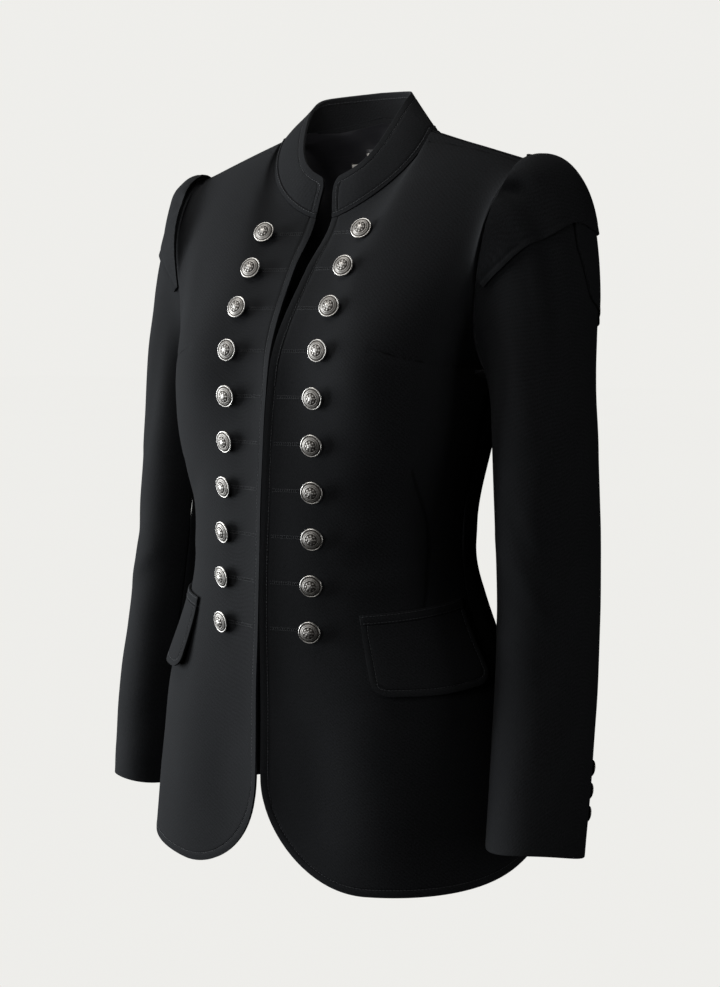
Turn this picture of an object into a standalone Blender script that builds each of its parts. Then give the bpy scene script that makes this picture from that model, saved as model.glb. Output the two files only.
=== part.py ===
"""A fitted stand-collar jacket with two rows of domed buttons, flap pockets and pleated
sleeve heads, holding the shape in which it is worn.

Metres, +Z up. +X is the wearer's left and -Y the front. The origin is the middle of the
shoulders, level with the neck points, where the wearer's shoulders carry the jacket.
Every cloth piece is a closed wall: a grid of points worked out from sections of the
garment, the same grid moved inwards by the cloth's thickness, and a rim. What lies on a
panel is made from that panel's own surface, moved outwards. The wearer's right side is
the left side mirrored, apart from how the sleeves hang.
"""

import math
from collections import namedtuple

import bpy
import numpy as np
from mathutils import Vector
from mathutils.bvhtree import BVHTree

# Cloth and seams
CLOTH = 0.0020
COLLAR_CLOTH = 0.0026
LAYER_CLOTH = 0.0018
LINING_CLOTH = 0.0010
SEAM_GAP = 0.0003
SLEEVE_GAP = 0.0005
LAYER_GAP = 0.0004

# Body
CHEST_Z = -0.215
HEM_Z = -0.6540
HEM_RISE = 0.145
CUTAWAY_WIDTH = 0.100
CUTAWAY_HEIGHT = 0.100
BODY_ROWS = 17
EDGE_SPRING = 0.0115
SPRING_WIDTH = 0.020
BUST_DEPTH = 0.0125
BUST_X = 0.092
BUST_Z = -0.205

# Neck and shoulders
FRONT_NECK = np.array([0.0090, -0.0420, -0.0780])
SHOULDER_NECK = np.array([0.0845, 0.0080, 0.0])
NAPE = np.array([0.0, 0.0600, 0.0170])
SHOULDER_TIP = np.array([0.1830, 0.0100, -0.0320])
FRONT_NECK_SHARE = 0.45
BACK_NECK_SHARE = 0.42
TIP_SHARE = 0.84
SHOULDER_WAY = np.array([0.0, 0.85, 0.52])
MIRROR = np.array([-1, 1, 1])

# Collar
COLLAR_CORNER = 0.012
COLLAR_HEIGHT = 0.036
COLLAR_BOW = 0.0012

# Sleeves
BICEP_Z = -0.25
CUFF_SLANT = 0.005
CUFF_SEAM_FALL = 0.004
HIND_SEAM = -42.0
FORE_SEAM = 142.0
PLEAT_DEPTH = 0.0032
BACK_PLEAT_SHARE = 0.6
HEAD_FLARE = 0.0012

# How a sleeve leaves the armhole: outwards, backwards and up at the shoulder, down below
CAP_OUT = 0.15
CAP_BACK = 0.07
CAP_RISE = 0.0525
CAP_FRONT_RISE_LOSS = 0.02
CAP_HIND_BACK = 0.06
UNDERARM_OUT = 0.02
UNDERARM_FALL = 0.08
CAP_FULLNESS = 0.69
SHOULDER_FULLNESS = 0.13
BACKWARD_FULLNESS = 0.20
HIND_FULLNESS = 0.25

# Pockets
WELT_TOP = -0.4260
POCKET_RISE = 0.0085
WELT_HEIGHT = 0.0090
FLAP_HEIGHT = 0.0640
FLAP_CORNER = 0.015
FLAP_FLARE = 0.0045
FLAP_SLANT = 0.0040
POCKET_CLOTH = 0.0022
POCKET_GAP = 0.0006
POCKET_FRONT = 0.62
POCKET_SIDE = 0.9976

# Buttons
FRONT_BUTTONS = 10
BUTTON_PITCH = 0.0408
BUTTON_TOP_Z = -0.0920
BUTTON_DROOP = 11.0
BUTTON_TURN_OUT = 6.0
CUFF_BUTTONS = 3
CUFF_BUTTON_PITCH = 0.0185
CUFF_BUTTON_RISE = 0.020
CUFF_BUTTON_TURN = -57.0
CUFF_BUTTON_SCALE = 0.75
BUTTON_STEPS = 8

Section = namedtuple("Section", "z half_width side_y front_y back_y front_square back_square")
TORSO = [
    Section(-0.680, 0.1970, -0.0150, -0.1380, 0.120, 2.4, 2.2),
    Section(-0.620, 0.1893, -0.0155, -0.1375, 0.119, 2.4, 2.2),
    Section(-0.560, 0.1805, -0.0160, -0.1365, 0.118, 2.4, 2.2),
    Section(-0.500, 0.1700, -0.0170, -0.1350, 0.112, 2.4, 2.2),
    Section(-0.430, 0.1442, -0.0190, -0.1325, 0.096, 2.4, 2.2),
    Section(-0.380, 0.1360, -0.0200, -0.1305, 0.070, 2.4, 2.3),
    Section(-0.320, 0.1410, -0.0190, -0.1275, 0.079, 2.6, 2.3),
    Section(-0.285, 0.1475, -0.0170, -0.1250, 0.085, 2.9, 2.4),
    Section(-0.243, 0.1530, -0.0100, -0.1205, 0.091, 3.3, 2.5),
    Section(-0.215, 0.1550, 0.0000, -0.1165, 0.095, 3.5, 2.6),
]

# Half of the slit between the two fronts
Slit = namedtuple("Slit", "z half_gap")
FRONT_SLIT = [
    Slit(-0.680, 0.0030),
    Slit(-0.570, 0.0030),
    Slit(-0.510, 0.0028),
    Slit(-0.420, 0.0006),
    Slit(-0.330, 0.0006),
    Slit(-0.240, 0.0006),
    Slit(-0.215, 0.0010),
]

# How a front or back panel runs into its top edge
Arrival = namedtuple("Arrival", "share x y z strength")
FRONT_ARRIVAL = [
    Arrival(0.00, 0.00, 0.45, 0.89, 0.90),
    Arrival(0.18, 0.00, 0.50, 0.86, 0.80),
    Arrival(0.33, 0.00, 0.72, 0.69, 0.60),
    Arrival(0.45, 0.00, 0.83, 0.55, 0.50),
    Arrival(0.84, 0.32, 0.80, 0.52, 0.50),
    Arrival(0.905, 0.32, 0.58, 0.75, 0.60),
    Arrival(0.952, 0.30, 0.42, 0.86, 0.70),
    Arrival(1.00, 0.25, 0.20, 0.95, 0.80),
]
BACK_ARRIVAL = [
    Arrival(0.00, 0.00, -0.45, 0.89, 0.90),
    Arrival(0.22, 0.00, -0.70, 0.60, 0.75),
    Arrival(0.42, 0.00, -0.87, -0.30, 0.38),
    Arrival(0.60, 0.00, -0.87, -0.46, 0.36),
    Arrival(0.84, 0.15, -0.84, -0.50, 0.36),
    Arrival(0.905, 0.14, -0.60, 0.60, 0.50),
    Arrival(0.952, 0.20, -0.45, 0.85, 0.60),
    Arrival(1.00, 0.25, -0.20, 0.95, 0.80),
]

# The armhole, by the angle round the sleeve: 0 at the shoulder, 90 at the front, 180 below
Hole = namedtuple("Hole", "turn x y z")
ARMHOLE = [
    Hole(0, *SHOULDER_TIP),
    Hole(45, 0.1755, -0.0360, -0.0680),
    Hole(90, 0.1680, -0.0500, -0.1190),
    Hole(135, 0.1595, -0.0420, -0.1810),
    Hole(180, 0.1550, 0.0000, -0.2180),
    Hole(225, 0.1615, 0.0480, -0.1820),
    Hole(270, 0.1705, 0.0600, -0.1150),
    Hole(315, 0.1785, 0.0480, -0.0620),
]
FRONT_HOLE_TURNS = [0, 20, 38, 58, 80, 104, 124, 142, 160, 180]
BACK_HOLE_TURNS = [0, -22, -42, -64, -90, -116, -142, -162, -180]

# Collar top edge, by the angle round the neck: 0 at the front end, 180 at the nape
CollarTop = namedtuple("CollarTop", "turn x y z")
COLLAR_TOP = [
    CollarTop(0, 0.0042, -0.0325, -0.0415),
    CollarTop(45, 0.0375, -0.0210, -0.0185),
    CollarTop(90, 0.0515, 0.0100, 0.0260),
    CollarTop(135, 0.0430, 0.0370, 0.0415),
    CollarTop(180, 0.0000, 0.0520, 0.0450),
    CollarTop(225, -0.0430, 0.0370, 0.0415),
    CollarTop(270, -0.0515, 0.0100, 0.0260),
]

# The left arm is bent a little forward and the right one hangs straight
SleeveRing = namedtuple("SleeveRing", "z x y half_width half_depth")
SLEEVES = {
    "left": [
        SleeveRing(-0.250, 0.2030, 0.0060, 0.0425, 0.0585),
        SleeveRing(-0.330, 0.2075, 0.0055, 0.0420, 0.0610),
        SleeveRing(-0.420, 0.2120, 0.0020, 0.0415, 0.0585),
        SleeveRing(-0.530, 0.2205, -0.0215, 0.0415, 0.0560),
        SleeveRing(-0.640, 0.2320, -0.0590, 0.0410, 0.0490),
    ],
    "right": [
        SleeveRing(-0.250, 0.1960, 0.0180, 0.0425, 0.0660),
        SleeveRing(-0.330, 0.2005, 0.0100, 0.0420, 0.0625),
        SleeveRing(-0.420, 0.2080, 0.0023, 0.0415, 0.0585),
        SleeveRing(-0.530, 0.2220, -0.0050, 0.0415, 0.0560),
        SleeveRing(-0.640, 0.2370, -0.0080, 0.0410, 0.0490),
    ],
}
CUFF_Z = {"left": -0.623, "right": -0.638}

# Lower edges of the two layers of the sleeve head
LayerEdge = namedtuple("LayerEdge", "turn head_z tuck_z")
LAYER_EDGES = [
    LayerEdge(-130, -0.1350, -0.1900),
    LayerEdge(-90, -0.1150, -0.1820),
    LayerEdge(-42, -0.0980, -0.1720),
    LayerEdge(-11, -0.0940, -0.1570),
    LayerEdge(0, -0.0905, -0.1440),
    LayerEdge(10, -0.0885, -0.1100),
    LayerEdge(29, -0.0975, -0.1060),
    LayerEdge(49, -0.1065, -0.1250),
    LayerEdge(80, -0.1250, -0.1500),
    LayerEdge(104, -0.1430, -0.1700),
    LayerEdge(142, -0.1950, -0.2100),
]
HEAD_TURNS = (-90.0, 104.0)
TUCK_TURNS = (-116.0, 10.0)
LEAST_HEAD = 0.014
LEAST_TUCK = 0.010

ButtonPlace = namedtuple("ButtonPlace", "z x")
BUTTON_LINE = [
    ButtonPlace(-0.460, 0.0478),
    ButtonPlace(-0.350, 0.0482),
    ButtonPlace(-0.240, 0.0478),
    ButtonPlace(-0.190, 0.0503),
    ButtonPlace(-0.120, 0.0520),
    ButtonPlace(-0.089, 0.0547),
]

# Front button, turned: from the crown down to the foot of the shank
Turned = namedtuple("Turned", "radius height")
BUTTON_PROFILE = [
    Turned(0.0, 0.0078),
    Turned(0.0065, 0.0068),
    Turned(0.0100, 0.0045),
    Turned(0.0098, 0.0032),
    Turned(0.0030, 0.0022),
    Turned(0.0030, 0.0),
    Turned(0.0, 0.0),
]

# Inside of the back
LINING_SHARE = 0.70
LINING_FOOT = -0.170
LABEL_WIDTH = 0.070
LABEL_TOP = -0.0190
LABEL_HEIGHT = 0.025
LOOP_WIDTH = 0.007
LOOP_LENGTH = 0.028
LOOP_X = -0.019
LOOP_TOP = -0.006
LOOP_SLACK = 0.0012
LABEL_GAP = 0.0008
LABEL_CLOTH = 0.0008

CLOTH_COLOUR = (0.012, 0.013, 0.015)
LINING_COLOUR = (0.010, 0.010, 0.012)
LABEL_COLOUR = (0.62, 0.60, 0.56)
METAL_COLOUR = (0.42, 0.40, 0.37)


def spline(knots, values):
    """A natural cubic through a short table, as a function of any array of places."""
    knots = np.asarray(knots, float)
    values = np.asarray(values, float)
    order = np.argsort(knots)
    knots, values = knots[order], values[order]
    last = len(knots) - 1
    step = np.diff(knots)
    shape = (-1,) + (1,) * (values.ndim - 1)
    slope = np.diff(values, axis=0) / step.reshape(shape)
    matrix = np.eye(last + 1)
    right = np.zeros_like(values)
    for i in range(1, last):
        matrix[i, i - 1 : i + 2] = step[i - 1], 2 * (step[i - 1] + step[i]), step[i]
        right[i] = 6 * (slope[i] - slope[i - 1])
    bend = np.linalg.solve(matrix, right)

    def at(place):
        place = np.clip(np.asarray(place, float), knots[0], knots[-1])
        i = np.clip(np.searchsorted(knots, place) - 1, 0, last - 1)
        width = step[i]
        b = (place - knots[i]) / width
        a = 1 - b
        if values.ndim > 1:
            a, b, width = a[..., None], b[..., None], width[..., None]
        curve = ((a**3 - a) * bend[i] + (b**3 - b) * bend[i + 1]) * width**2 / 6
        return a * values[i] + b * values[i + 1] + curve

    return at


def column(table, key):
    return [getattr(row, key) for row in table]


def column_spline(table, place, *keys):
    values = [[getattr(row, key) for key in keys] for row in table]
    values = np.array(values)[:, 0] if len(keys) == 1 else np.array(values)
    return spline(column(table, place), values)


def ease(start, end, value):
    """0 at start, 1 at end and smooth between them."""
    share = np.clip((np.asarray(value, float) - start) / (end - start), 0, 1)
    return share * share * (3 - 2 * share)


def unit(vectors):
    return vectors / np.linalg.norm(vectors, axis=-1, keepdims=True)


def hermite(share, start, start_way, end, end_way):
    share = share[..., None]
    square, cube = share**2, share**3
    curve = (2 * cube - 3 * square + 1) * start + (3 * square - 2 * cube) * end
    return curve + (cube - 2 * square + share) * start_way + (cube - square) * end_way


half_width = column_spline(TORSO, "z", "half_width")
side_y = column_spline(TORSO, "z", "side_y")
front_y = column_spline(TORSO, "z", "front_y")
back_y = column_spline(TORSO, "z", "back_y")
front_square = column_spline(TORSO, "z", "front_square")
back_square = column_spline(TORSO, "z", "back_square")
half_gap = column_spline(FRONT_SLIT, "z", "half_gap")
front_arrival = column_spline(FRONT_ARRIVAL, "share", "x", "y", "z")
front_strength = column_spline(FRONT_ARRIVAL, "share", "strength")
back_arrival = column_spline(BACK_ARRIVAL, "share", "x", "y", "z")
back_strength = column_spline(BACK_ARRIVAL, "share", "strength")
collar_top = column_spline(COLLAR_TOP, "turn", "x", "y", "z")
sleeve_centre = {side: column_spline(rings, "z", "x", "y") for side, rings in SLEEVES.items()}
sleeve_half = {
    side: column_spline(rings, "z", "half_width", "half_depth") for side, rings in SLEEVES.items()
}
head_edge = column_spline(LAYER_EDGES, "turn", "head_z")
tuck_edge = column_spline(LAYER_EDGES, "turn", "tuck_z")
button_x = column_spline(BUTTON_LINE, "z", "x")


def armhole_curve():
    """The smooth armhole, from a table wrapped round at both ends."""
    wrapped = [hole._replace(turn=hole.turn + 360 * lap) for lap in (-1, 0, 1) for hole in ARMHOLE]
    return column_spline(wrapped, "turn", "x", "y", "z")


def armhole(turn):
    """The seam round the armhole: straight between the panels' own points on it."""
    knots = sorted(set(FRONT_HOLE_TURNS) | set(BACK_HOLE_TURNS))
    corners = armhole_curve()(knots)
    turn = (np.asarray(turn, float) + 180) % 360 - 180
    return np.stack([np.interp(turn, knots, corners[:, axis]) for axis in range(3)], -1)


def neckline(turn):
    """The seam round the neck: 0 at the front end, 90 at the shoulder, 180 at the nape."""
    turn = np.asarray(turn, float)
    angle = np.radians(turn)
    fore = turn <= 90
    reach = np.where(fore, SHOULDER_NECK[1] - FRONT_NECK[1], NAPE[1] - SHOULDER_NECK[1])
    inner = np.where(fore, FRONT_NECK[0], 0)
    x = inner + (SHOULDER_NECK[0] - inner) * np.sin(angle)
    y = SHOULDER_NECK[1] - reach * np.cos(angle)
    front_z = FRONT_NECK[2] * (1 - np.clip(turn / 90, 0, 1) ** 1.35)
    back_z = NAPE[2] * np.clip(turn / 90 - 1, 0, 1) ** 1.3
    return np.stack([x, y, np.where(fore, front_z, back_z)], -1)


def shoulder(share):
    share = np.clip(share, 0, 1)[..., None]
    return SHOULDER_NECK + (SHOULDER_TIP - SHOULDER_NECK) * share


def hole_share(turn):
    """Where a column that ends at this turn of the armhole lies across its panel."""
    return TIP_SHARE + (1 - TIP_SHARE) * (np.abs(turn) / 180) ** (1 / 1.2)


def hole_turn(share):
    return 180 * np.clip((share - TIP_SHARE) / (1 - TIP_SHARE), 0, 1) ** 1.2


def front_neck_turn(share):
    return 90 * np.clip(share / FRONT_NECK_SHARE, 0, 1) ** 0.9


def back_neck_turn(share):
    return 180 - 90 * np.clip(share / BACK_NECK_SHARE, 0, 1)


def top_edge(share, neck_share, neck_turn, side):
    """Top edge of a panel: neckline, then shoulder seam, then armhole."""
    along = (share - neck_share) / (TIP_SHARE - neck_share)
    neck = neckline(neck_turn(share))
    hole = armhole(side * hole_turn(share))
    edge = np.where((share <= neck_share)[..., None], neck, shoulder(along))
    return np.where((share >= TIP_SHARE)[..., None], hole, edge)


def front_section(share, z):
    square = front_square(z)
    depth = np.maximum(1 - share**square, 0) ** (1 / square)
    x = half_gap(z) + (half_width(z) - half_gap(z)) * share
    y = side_y(z) + (front_y(z) - side_y(z)) * depth
    return np.stack([x, y, z], -1)


def back_section(share, z):
    square = back_square(z)
    depth = np.maximum(1 - share**square, 0) ** (1 / square)
    x = half_width(z) * share
    y = side_y(z) + (back_y(z) - side_y(z)) * depth
    return np.stack([x, y, z], -1)


def hem(section, share):
    """Height of the hem, which rises a little from front to back."""
    level = np.full(np.shape(share), HEM_Z)
    for _ in range(3):
        level = HEM_Z + HEM_RISE * section(share, level)[..., 1]
    return level


def front_foot(share):
    """Height of a front's lower edge: the hem, with the large rounded cutaway."""
    level = hem(front_section, share)
    across = (half_width(level) - half_gap(level)) * share
    lean = np.clip(1 - across / CUTAWAY_WIDTH, 0, 1)
    return level + CUTAWAY_HEIGHT * (1 - np.sqrt(1 - lean**2))


def panel(share, along, section, foot, top, way, strength):
    """A body panel: sections up to the chest, then a smooth rise into its top edge."""
    share, along = np.broadcast_arrays(np.asarray(share, float), np.asarray(along, float))
    low = foot(share)
    chest = section(share, np.full(share.shape, CHEST_Z))
    below = section(share, np.full(share.shape, CHEST_Z - 0.004))
    end = top(share)
    rise = np.linalg.norm(end - chest, axis=-1)
    split = (CHEST_Z - low) / (CHEST_Z - low + 1.05 * rise)
    lower_z = low + (CHEST_Z - low) * np.clip(along / split, 0, 1)
    upper = np.clip((along - split) / np.maximum(1 - split, 1e-6), 0, 1)
    toward_hole = ease(0.86, 1.0, share)[..., None]
    chord = (end - chest) / np.maximum(rise, 1e-6)[..., None]
    start_way = unit((1 - toward_hole) * unit(chest - below) + toward_hole * chord)
    upright = hermite(
        upper,
        chest,
        start_way * (0.9 * rise)[..., None],
        end,
        unit(way(share)) * (strength(share) * rise)[..., None],
    )
    return np.where((along <= split)[..., None], section(share, lower_z), upright)


def front_plain(share, along):
    def top(across):
        return top_edge(across, FRONT_NECK_SHARE, front_neck_turn, 1)

    return panel(share, along, front_section, front_foot, top, front_arrival, front_strength)


def front_surface(share, along):
    """A front panel with its bust shape and the spring of its front edge."""
    points = front_plain(share, along)
    share = np.broadcast_to(np.asarray(share, float), points.shape[:-1])
    x, z = points[..., 0], points[..., 2]
    bust = np.exp(-(((x - BUST_X) / 0.045) ** 2) - ((z - BUST_Z) / 0.055) ** 2)
    bust = BUST_DEPTH * bust * (1 - ease(0.84, 0.97, share))
    spring = EDGE_SPRING * np.exp(-x / SPRING_WIDTH) * ease(-0.085, -0.125, z)
    points[..., 1] -= bust + spring
    return points


def back_surface(share, along):
    def top(across):
        return top_edge(across, BACK_NECK_SHARE, back_neck_turn, -1)

    def foot(across):
        return hem(back_section, across)

    return panel(share, along, back_section, foot, top, back_arrival, back_strength)


def front_along(share, z):
    """Where along its column a point of the front below the chest lies."""
    low = front_foot(share)
    chest = front_section(share, np.full(np.shape(share), CHEST_Z))
    rise = np.linalg.norm(top_edge(share, FRONT_NECK_SHARE, front_neck_turn, 1) - chest, axis=-1)
    split = (CHEST_Z - low) / (CHEST_Z - low + 1.05 * rise)
    return split * (z - low) / (CHEST_Z - low)


def pleats(turn, share):
    """Soft pleats of the sleeve head: a roll on top, a valley and a lip to each side."""
    away = np.abs((np.asarray(turn, float) + 180) % 360 - 180)
    roll = 0.8 * (1 - ease(20, 36, away))
    folded = np.where(np.asarray(turn) < 0, BACK_PLEAT_SHARE, 1.0)
    valley = -folded * np.exp(-(((away - 37) / 7.0) ** 2))
    lip = 0.55 * folded * np.exp(-(((away - 50) / 8.0) ** 2))
    fade = ease(0.0, 0.07, share) * (1 - ease(0.12, 0.36, share))
    return PLEAT_DEPTH * (roll + valley + lip) * fade


def sleeve_plain(side):
    """A sleeve without its pleats: share runs from the armhole, 0, to the cuff, 1."""

    def surface(turn, share):
        turn, share = np.broadcast_arrays(np.asarray(turn, float), np.asarray(share, float))
        angle = np.radians(turn)
        outward = (1 + np.cos(angle)) / 2
        sine = np.sin(angle)

        def ring(z):
            centre, half = sleeve_centre[side](z), sleeve_half[side](z)
            x = centre[..., 0] + half[..., 0] * np.cos(angle)
            y = centre[..., 1] - half[..., 1] * sine
            return np.stack([x, y, z], -1)

        start = armhole(turn) + np.array([SLEEVE_GAP, 0, 0])
        bicep = ring(np.full(angle.shape, BICEP_Z))
        below = ring(np.full(angle.shape, BICEP_Z - 0.004))
        fore, hind = np.maximum(sine, 0), np.maximum(-sine, 0)
        leave_x = UNDERARM_OUT + (CAP_OUT - UNDERARM_OUT) * outward
        leave_y = CAP_BACK * outward + CAP_HIND_BACK * hind
        leave_z = (CAP_RISE - CAP_FRONT_RISE_LOSS * fore) * outward - UNDERARM_FALL * (1 - outward)
        leave = unit(np.stack([leave_x, leave_y, leave_z], -1))
        length = np.linalg.norm(bicep - start, axis=-1)
        at_shoulder = (SHOULDER_FULLNESS - BACKWARD_FULLNESS * sine) * outward**2
        puff = CAP_FULLNESS + at_shoulder + HIND_FULLNESS * hind**2
        fall = CUFF_SEAM_FALL * np.cos(2 * (angle - math.radians(HIND_SEAM)))
        cuff = CUFF_Z[side] - CUFF_SLANT * np.cos(angle + math.radians(45)) - fall
        split = length / (length + BICEP_Z - cuff)
        upper = np.clip(share / split, 0, 1)
        leave = leave * (puff * length)[..., None]
        cap = hermite(upper, start, leave, bicep, unit(below - bicep) * length[..., None])
        lower = np.clip((share - split) / (1 - split), 0, 1)
        arm = ring(BICEP_Z + (cuff - BICEP_Z) * lower)
        return np.where((share <= split)[..., None], cap, arm)

    return surface


def surface_normals(surface, across, along, most_across, least_across=0.0):
    """Normals from small steps over the surface, turned so that they point out."""
    small = 1e-4
    scale = most_across - least_across
    high = np.minimum(across + small * scale, most_across)
    low = np.maximum(across - small * scale, least_across)
    over = surface(high, along) - surface(low, along)
    up = surface(across, np.minimum(along + small, 1))
    up = up - surface(across, np.maximum(along - small, 0))
    return unit(np.cross(over, up))


def sleeve_normals(surface, turn, share):
    return surface_normals(surface, turn, share, 1000.0, -1000.0)


def sleeve_surface(side):
    plain = sleeve_plain(side)

    def surface(turn, share):
        turn, share = np.broadcast_arrays(np.asarray(turn, float), np.asarray(share, float))
        return plain(turn, share) + sleeve_normals(plain, turn, share) * pleats(turn, share)[..., None]

    return surface


def sleeve_share_at(side, turns, heights):
    """Where along each column of a sleeve its surface passes the given height."""
    dense = np.linspace(0, 1, 401)
    shares = []
    for turn, height in zip(turns, heights):
        fall = np.maximum.accumulate(-sleeve_plain(side)(np.full(401, turn), dense)[:, 2])
        shares.append(np.interp(-height, fall, dense))
    return np.array(shares)


def finish(name, colour, roughness, metallic=0.0):
    material = bpy.data.materials.new(name + "_finish")
    material.use_nodes = True
    shader = material.node_tree.nodes["Principled BSDF"]
    shader.inputs["Base Color"].default_value = (*colour, 1)
    shader.inputs["Roughness"].default_value = roughness
    shader.inputs["Metallic"].default_value = metallic
    return material


def new_part(name, mesh, colour=CLOTH_COLOUR, roughness=0.85, metallic=0.0):
    part = bpy.data.objects.new(name, mesh)
    jacket.objects.link(part)
    part.active_material = finish(name, colour, roughness, metallic)
    return part


def grid_quads(number, middle):
    """Faces of a grid of numbered points, each side of its middle column mirroring the other."""
    quads = []
    for r in range(number.shape[0] - 1):
        for c in range(number.shape[1] - 1):
            quad = number[r, c], number[r, c + 1], number[r + 1, c + 1], number[r + 1, c]
            quads.append(quad if c >= middle else (*quad[1:], quad[0]))
    return quads


def rim_quads(number, shift):
    """Faces that join a grid's edge to that of its copy, split alike on facing edges."""
    quads = []
    ahead = [number[0], number[:, -1]]
    back = [number[-1, ::-1], number[::-1, 0]]
    for run in ahead + back:
        for this, following in zip(run[:-1], run[1:]):
            quad = following, this, this + shift, following + shift
            quads.append(quad if following > this else (*quad[1:], quad[0]))
    return quads


def turned(face):
    """The face the other way round, still starting at the same corner."""
    return (face[0], *face[:0:-1])


def wall(name, points, normals, inner, outer, mirrored=False, middle=0, **look):
    """A closed wall between two distances along the normals of a grid of points."""
    rows, columns = points.shape[:2]
    distance_in = np.broadcast_to(inner, (rows, columns))[..., None]
    distance_out = np.broadcast_to(outer, (rows, columns))[..., None]
    outside = (points + normals * distance_out).reshape(-1, 3)
    inside = (points + normals * distance_in).reshape(-1, 3)
    vertices = np.concatenate([outside, inside])
    number = np.arange(rows * columns).reshape(rows, columns)
    faces = grid_quads(number, middle)
    faces += [turned(quad) for quad in grid_quads(number + rows * columns, middle)]
    faces += rim_quads(number, rows * columns)
    across = points[0, 1] - points[0, 0]
    up = points[1, 0] - points[0, 0]
    turned_in = np.dot(np.cross(across, up), normals[0, 0]) < 0
    if mirrored:
        vertices = vertices * MIRROR
    if turned_in != mirrored:
        faces = [turned(face) for face in faces]
    mesh = bpy.data.meshes.new(name)
    mesh.from_pydata(vertices.tolist(), [], [tuple(map(int, face)) for face in faces])
    return new_part(name, mesh, **look)


def both_sides(name, points, normals, inner, outer):
    wall(name + "_left", points, normals, inner, outer)
    wall(name + "_right", points, normals, inner, outer, mirrored=True)


def pull_in(points, side, distance):
    """Moves one edge column of a grid back along the grid, for half of a seam's gap."""
    edge, inside = (0, 1) if side == "first" else (-1, -2)
    points[:, edge] += unit(points[:, inside] - points[:, edge]) * distance


def pull_down(points, distance):
    points[-1] += unit(points[-2] - points[-1]) * distance


def front_shares():
    neck = [0, 0.03, 0.075, 0.12, 0.18, 0.25, 0.315, 0.38, FRONT_NECK_SHARE]
    seam = [0.55, 0.65, 0.75]
    return np.array(neck + seam + [hole_share(turn) for turn in FRONT_HOLE_TURNS])


def back_shares():
    neck = [BACK_NECK_SHARE * step / 6 for step in range(7)]
    seam = [0.56, 0.70]
    return np.array(neck + seam + [hole_share(turn) for turn in BACK_HOLE_TURNS])


def seam_normals(normals, shares, neck_share):
    """Gives both panels one facing along their seams, and keeps them out of the armhole."""
    normals[:, -1, 1] = 0
    normals[-1, shares > TIP_SHARE, 0] = np.maximum(normals[-1, shares > TIP_SHARE, 0], 0)
    normals = unit(normals)
    on_shoulder = (shares > neck_share - 1e-6) & (shares < TIP_SHARE + 1e-6)
    over = np.cross(SHOULDER_TIP - SHOULDER_NECK, SHOULDER_WAY)
    normals[-1, on_shoulder] = unit(over)
    return normals


def make_fronts():
    across, along = np.meshgrid(front_shares(), np.linspace(0, 1, BODY_ROWS + 1))
    points = front_surface(across, along)
    normals = surface_normals(front_surface, across, along, 1.0)
    normals = seam_normals(normals, front_shares(), FRONT_NECK_SHARE)
    normals[:, 0, 0] = 0
    normals[:, 0] = unit(normals[:, 0])
    pull_in(points, "last", SEAM_GAP / 2)
    pull_down(points, SEAM_GAP / 2)
    both_sides("front", points, normals, -CLOTH, 0.0)


def make_backs():
    across, along = np.meshgrid(back_shares(), np.linspace(0, 1, BODY_ROWS + 1))
    points = back_surface(across, along)
    normals = -surface_normals(back_surface, across, along, 1.0)
    normals = seam_normals(normals, back_shares(), BACK_NECK_SHARE)
    normals[:, 0, 0] = 0
    normals[:, 0] = unit(normals[:, 0])
    make_lining(points, normals)
    pull_in(points, "last", SEAM_GAP / 2)
    pull_in(points, "first", SEAM_GAP / 2)
    pull_down(points, SEAM_GAP / 2)
    both_sides("back", points, normals, -CLOTH, 0.0)


def make_lining(points, normals):
    """The lining of the upper back, which shows through the neck, from the backs' points."""
    columns = back_shares() <= LINING_SHARE
    rows = points[:, 0, 2] > LINING_FOOT
    half = points[rows][:, columns]
    facing = normals[rows][:, columns]
    whole = np.concatenate([half[:, :0:-1] * MIRROR, half], axis=1)
    whole_facing = np.concatenate([facing[:, :0:-1] * MIRROR, facing], axis=1)
    outer = -CLOTH - LAYER_GAP
    look = {"colour": LINING_COLOUR, "roughness": 0.4}
    middle = half.shape[1] - 1
    wall("back_lining", whole, whole_facing, outer - LINING_CLOTH, outer, middle=middle, **look)


def surface_tree(name):
    """A made piece's faces, for finding places on it."""
    mesh = bpy.data.objects[name].data
    corners = [corner.co for corner in mesh.vertices]
    return BVHTree.FromPolygons(corners, [face.vertices for face in mesh.polygons])


def cast(tree, start, way):
    place, normal, _, _ = tree.ray_cast(Vector(start), Vector(way))
    return np.array(place), np.array(normal)


def lining_patch(xs, zs):
    """Points on the inner face of the lining at the given widths and heights."""
    tree = surface_tree("back_lining")
    hits = [[cast(tree, (x, -0.02, z), (0, 1, 0)) for x in xs] for z in zs]
    points = np.array([[place for place, _ in row] for row in hits])
    normals = np.array([[-unit(normal) for _, normal in row] for row in hits])
    return points, normals


def make_inside_trim():
    """The blank label and the hanging loop, sewn to the lining below the back neck."""
    xs = np.linspace(-LABEL_WIDTH / 2, LABEL_WIDTH / 2, 9)
    zs = LABEL_TOP - LABEL_HEIGHT * np.array([1.0, 0.5, 0.0])
    points, normals = lining_patch(xs, zs)
    look = {"colour": LABEL_COLOUR, "roughness": 0.7}
    wall("neck_label", points, normals, -LABEL_GAP - LABEL_CLOTH, -LABEL_GAP, **look)
    xs = LOOP_X + LOOP_WIDTH * np.array([-0.5, 0.0, 0.5])
    zs = LOOP_TOP - LOOP_LENGTH * np.array([1.0, 0.66, 0.33, 0.0])
    points, normals = lining_patch(xs, zs)
    lift = LABEL_GAP + LABEL_CLOTH + LABEL_GAP + LOOP_SLACK * np.array([0, 1, 1, 0])[:, None]
    look = {"colour": LINING_COLOUR, "roughness": 0.4}
    wall("hanger_loop", points, normals, -lift - LINING_CLOTH, -lift, **look)


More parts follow.
